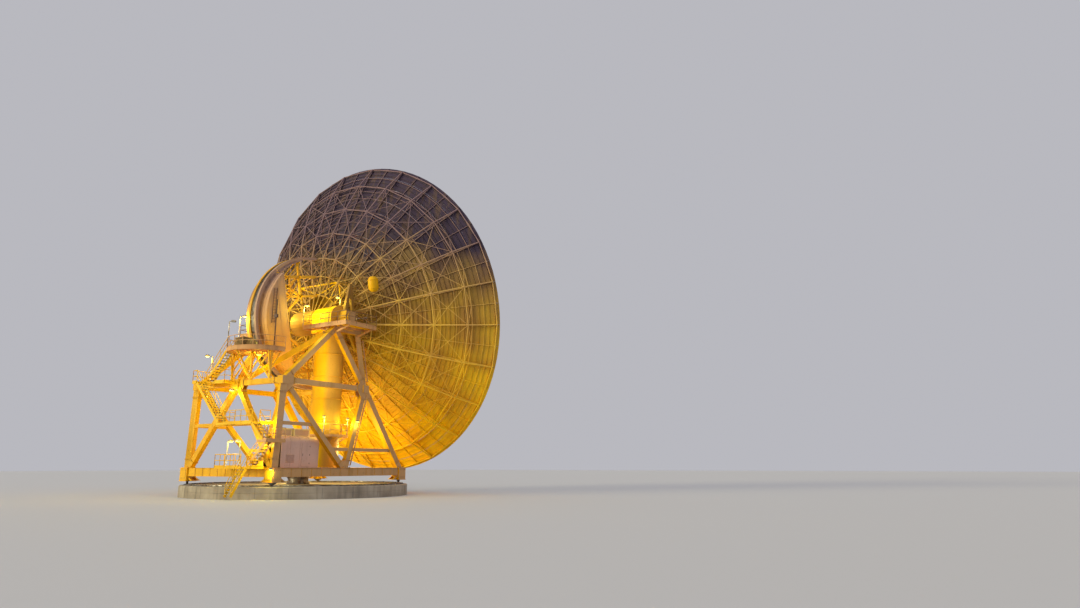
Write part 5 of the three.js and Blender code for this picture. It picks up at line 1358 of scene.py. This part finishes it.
# Quadripod and subreflector
# Four laced legs stand on the back frame through the panels and meet in a crown, which holds the
# subreflector by its back.
QUAD_FOOT, QUAD_RING, QUAD_ALONG = 8.6, 1.75, 12.9
LEG_HALF, LEG_CHORD_R, LACING_R, LACING_BAYS = 0.1, 0.035, 0.018, 22
quad = Form()
for k in range(4):
    turn = (k + 0.5) * math.pi / 2
    foot, head = around(QUAD_FOOT, dish(QUAD_FOOT) - 0.1, turn), around(QUAD_RING, QUAD_ALONG, turn)
    along = (head - foot) / np.linalg.norm(head - foot)
    side = np.cross((0, 1, 0), along)
    side /= np.linalg.norm(side)
    top = np.cross(along, side)
    corners = [(side * a + top * b) * LEG_HALF for a, b in ((1, 1), (-1, 1), (-1, -1), (1, -1))]
    for corner in corners:
        quad.pipe(foot + corner, head + corner, LEG_CHORD_R, 8)
    for bay in range(LACING_BAYS):
        here, there = (foot + (head - foot) * k / LACING_BAYS for k in (bay, bay + 1))
        for first, second in zip(corners, corners[1:] + corners[:1]):
            if bay % 2:
                first, second = second, first
            quad.pipe(here + first, there + second, LACING_R, 5)
quad.turned([(QUAD_RING - 0.15, QUAD_ALONG - 0.15), (QUAD_RING + 0.15, QUAD_ALONG - 0.15),
             (QUAD_RING + 0.15, QUAD_ALONG + 0.25), (QUAD_RING + 0.11, QUAD_ALONG + 0.25),
             (QUAD_RING + 0.11, QUAD_ALONG - 0.1), (QUAD_RING - 0.11, QUAD_ALONG - 0.1),
             (QUAD_RING - 0.11, QUAD_ALONG + 0.25), (QUAD_RING - 0.15, QUAD_ALONG + 0.25)], 72, "Y")
make_piece("quadripod_legs", quad, "tipping_dish", [FRAME_PAINT], ["quadripod"], TIPPING)

SUB_R, SUB_EDGE, SUB_BULGE = 1.72, 12.45, 0.56
sub = Form()
bowl = [(SUB_R * share, SUB_EDGE - SUB_BULGE * (1 - share ** 2)) for share in np.linspace(0, 1, 13)]
sub.turned([*bowl, (SUB_R, SUB_EDGE + 0.06), (SUB_R - 0.06, SUB_EDGE + 0.08),
            (QUAD_RING - 0.2, QUAD_ALONG - 0.15), (0, QUAD_ALONG - 0.15)], 96, "Y")
make_piece("subreflector_shell", sub, "tipping_dish", [FACE_PAINT], ["subreflector"], TIPPING)

# Lamps
# Sodium floodlights on short poles at the platforms and stairs: a galvanised pole, a hooded
# aluminium head and a glass that glows. One head is out. A darker mast stands on the drive platform.
GLASS = Finish("lamp_glass", Base_Color=tone("#ffe08a"), Roughness=0.3,
               Emission_Color=tone("#ffd23c"), Emission_Strength=8)
DARK_GLASS = Finish("dark_glass", Base_Color=tone("#8b8f8d"), Roughness=0.15)
POLE_STEEL = bare_steel("pole_steel", "#a89f92", "#86786a")
LAMP_COLOUR = (1.0, 0.92, 0.1)
MAST_PAINT = painted("mast_paint", "#5f4438", "#533a30", "#3c2c26", 0.3)
HEAD_LIGHT_DROP, HEAD_LIGHT_SIZE = 0.35, 0.15
lamps = Form()


def shining(name, spot, watts, colour, size):
    """A point light that turns with the mount."""
    light = bpy.data.lights.new(name, "POINT")
    light.color = colour
    light.energy = watts
    light.shadow_soft_size = size
    source = bpy.data.objects.new(name, light)
    source.location = spot
    bpy.context.scene.collection.objects.link(source)
    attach(source, "alidade")


def lamp(foot, head, watts):
    """A pole up to the head's height, an arm and a hooded head; it shines when it is given watts."""
    foot, head = np.array(foot, float), np.array(head, float)
    top = np.array((*foot[:2], head[2]))
    reach = head - top if np.linalg.norm(head - top) > 0.01 else np.array((0, -1.0, 0))
    ahead = reach / np.linalg.norm(reach)
    if np.linalg.norm(top - foot) > 0.01:
        lamps.pipe(foot, top, 0.045, 10)
    lamps.bar(top, head, 0.05, 0.05)
    lamps.bar(head - ahead * 0.16 + (0, 0, 0.03), head + ahead * 0.2 + (0, 0, 0.03), 0.26, 0.12)
    lamps.bar(head - ahead * 0.12 + (0, 0, 0.1), head + ahead * 0.12 + (0, 0, 0.1), 0.16, 0.05)
    glass = 1 if watts else 2
    lamps.bar(head - ahead * 0.12 - (0, 0, 0.05), head + ahead * 0.17 - (0, 0, 0.05), 0.22, 0.05,
              finish=glass)
    if watts:
        shining("lamp_glow", head - np.array((0, 0, HEAD_LIGHT_DROP)), watts, LAMP_COLOUR, HEAD_LIGHT_SIZE)


for foot, head, watts in (
    ((1.78, -2.27, PLATFORM_Z), (2.12, -2.2, 18.22), 380),
    ((-2.08, -2.27, PLATFORM_Z), (-2.4, -2.2, 18.22), 450),
    ((4.3, 0, HOUSING_TOP - 0.02), (4.3, -0.3, 19.15), 70),
    ((4.78, -1.55, WALK_Z), (4.95, -1.75, 7.3), 110),
    ((5.15, 1.05, WALK_Z), (5.4, 0.8, 7.2), 80),
    ((6.2, 1.3, 6.85), (6.45, 1.1, 6.95), 40),
    ((6.2, -8.42, 2.45), (6.35, -8.55, 2.5), 90),
    ((5.1, -7.95, 4.9), (5.1, -8.2, 4.95), 70),
    ((-1.507, -6.997, DRIVE_Z), (-1.12, -6.76, 16.7), 250),
    ((-0.36, -8.93, DRIVE_Z), (-0.05, -8.75, 15.75), 0),
    ((-3.72, -7.97, UPPER_Z), (-3.95, -8.35, 12.9), 250),
    ((0.29, -8.0, 9.6), (0.29, -8.5, 9.45), 130),
    ((5.47, -7.95, 6.65), (5.47, -8.5, 6.6), 80),
    ((1.5, -7.2, 12.95), (1.5, -6.9, 12.8), 220),
    ((2.08, NEAR_EDGE, LOWER_Z), (2.42, NEAR_EDGE, 4.86), 80),
    ((3.78, NEAR_EDGE, LOWER_Z), (3.44, NEAR_EDGE, 4.86), 80),
):
    lamp(foot, head, watts)
lamps.pipe((4.23, -7.49, DRIVE_Z), (4.23, -7.49, 17.6), 0.05, 10, finish=3)
lamps.block((4.05, -7.58, 15.9), (4.4, -7.4, 16.2), 3)
make_piece("lamp_posts", lamps, "alidade", [POLE_STEEL, GLASS, DARK_GLASS, MAST_PAINT])

# Stage
# A plain pale floor under a pale sky. A broad warm key light comes from the camera's left, with a weak
# fill, and three warm lights inside the mount stand for the glow that the lamps throw about it.
FLOOR_HALF = 400
GLOW_COLOUR, GLOW_SIZE = (1, 0.9, 0.35), 1.2
floor = Form()
floor.plate([(-FLOOR_HALF, -FLOOR_HALF, -0.01), (FLOOR_HALF, -FLOOR_HALF, -0.01),
             (FLOOR_HALF, FLOOR_HALF, -0.01), (-FLOOR_HALF, FLOOR_HALF, -0.01)], 0.02)
floor_mesh = bpy.data.meshes.new("floor")
floor_mesh.from_pydata(np.concatenate(floor.corners).tolist(), [], floor.faces)
FLOOR = Finish("floor_finish", Base_Color=(0.62, 0.61, 0.6, 1), Roughness=0.9)
floor_mesh.materials.append(FLOOR.material)
floor_piece = bpy.data.objects.new("floor", floor_mesh)
bpy.context.scene.collection.objects.link(floor_piece)

world = bpy.data.worlds.new("studio")
world.use_nodes = True
world.node_tree.nodes["Background"].inputs["Color"].default_value = (0.88, 0.88, 0.95, 1)
world.node_tree.nodes["Background"].inputs["Strength"].default_value = 0.55
bpy.context.scene.world = world
bpy.context.scene.view_settings.view_transform = "Standard"
for name, spot, watts in (
    ("tower_glow", (4.6, 2.6, 4.4), 500),
    ("dish_glow", (-1.5, 0.6, 3.4), 2000),
    ("deck_glow", (5.9, -3.4, 11.5), 380),
):
    shining(name, spot, watts, GLOW_COLOUR, GLOW_SIZE)
for name, tilt, turn, energy, angle, colour in (
    ("key", 85, -30, 3.6, 30, (1, 0.92, 0.56)),
    ("fill", 40, 60, 0.5, 60, (0.95, 0.93, 0.95)),
):
    sun = bpy.data.lights.new(name, "SUN")
    sun.color = colour
    sun.energy = energy
    sun.angle = math.radians(angle)
    source = bpy.data.objects.new(name, sun)
    source.rotation_euler = (math.radians(tilt), 0, math.radians(turn))
    bpy.context.scene.collection.objects.link(source)
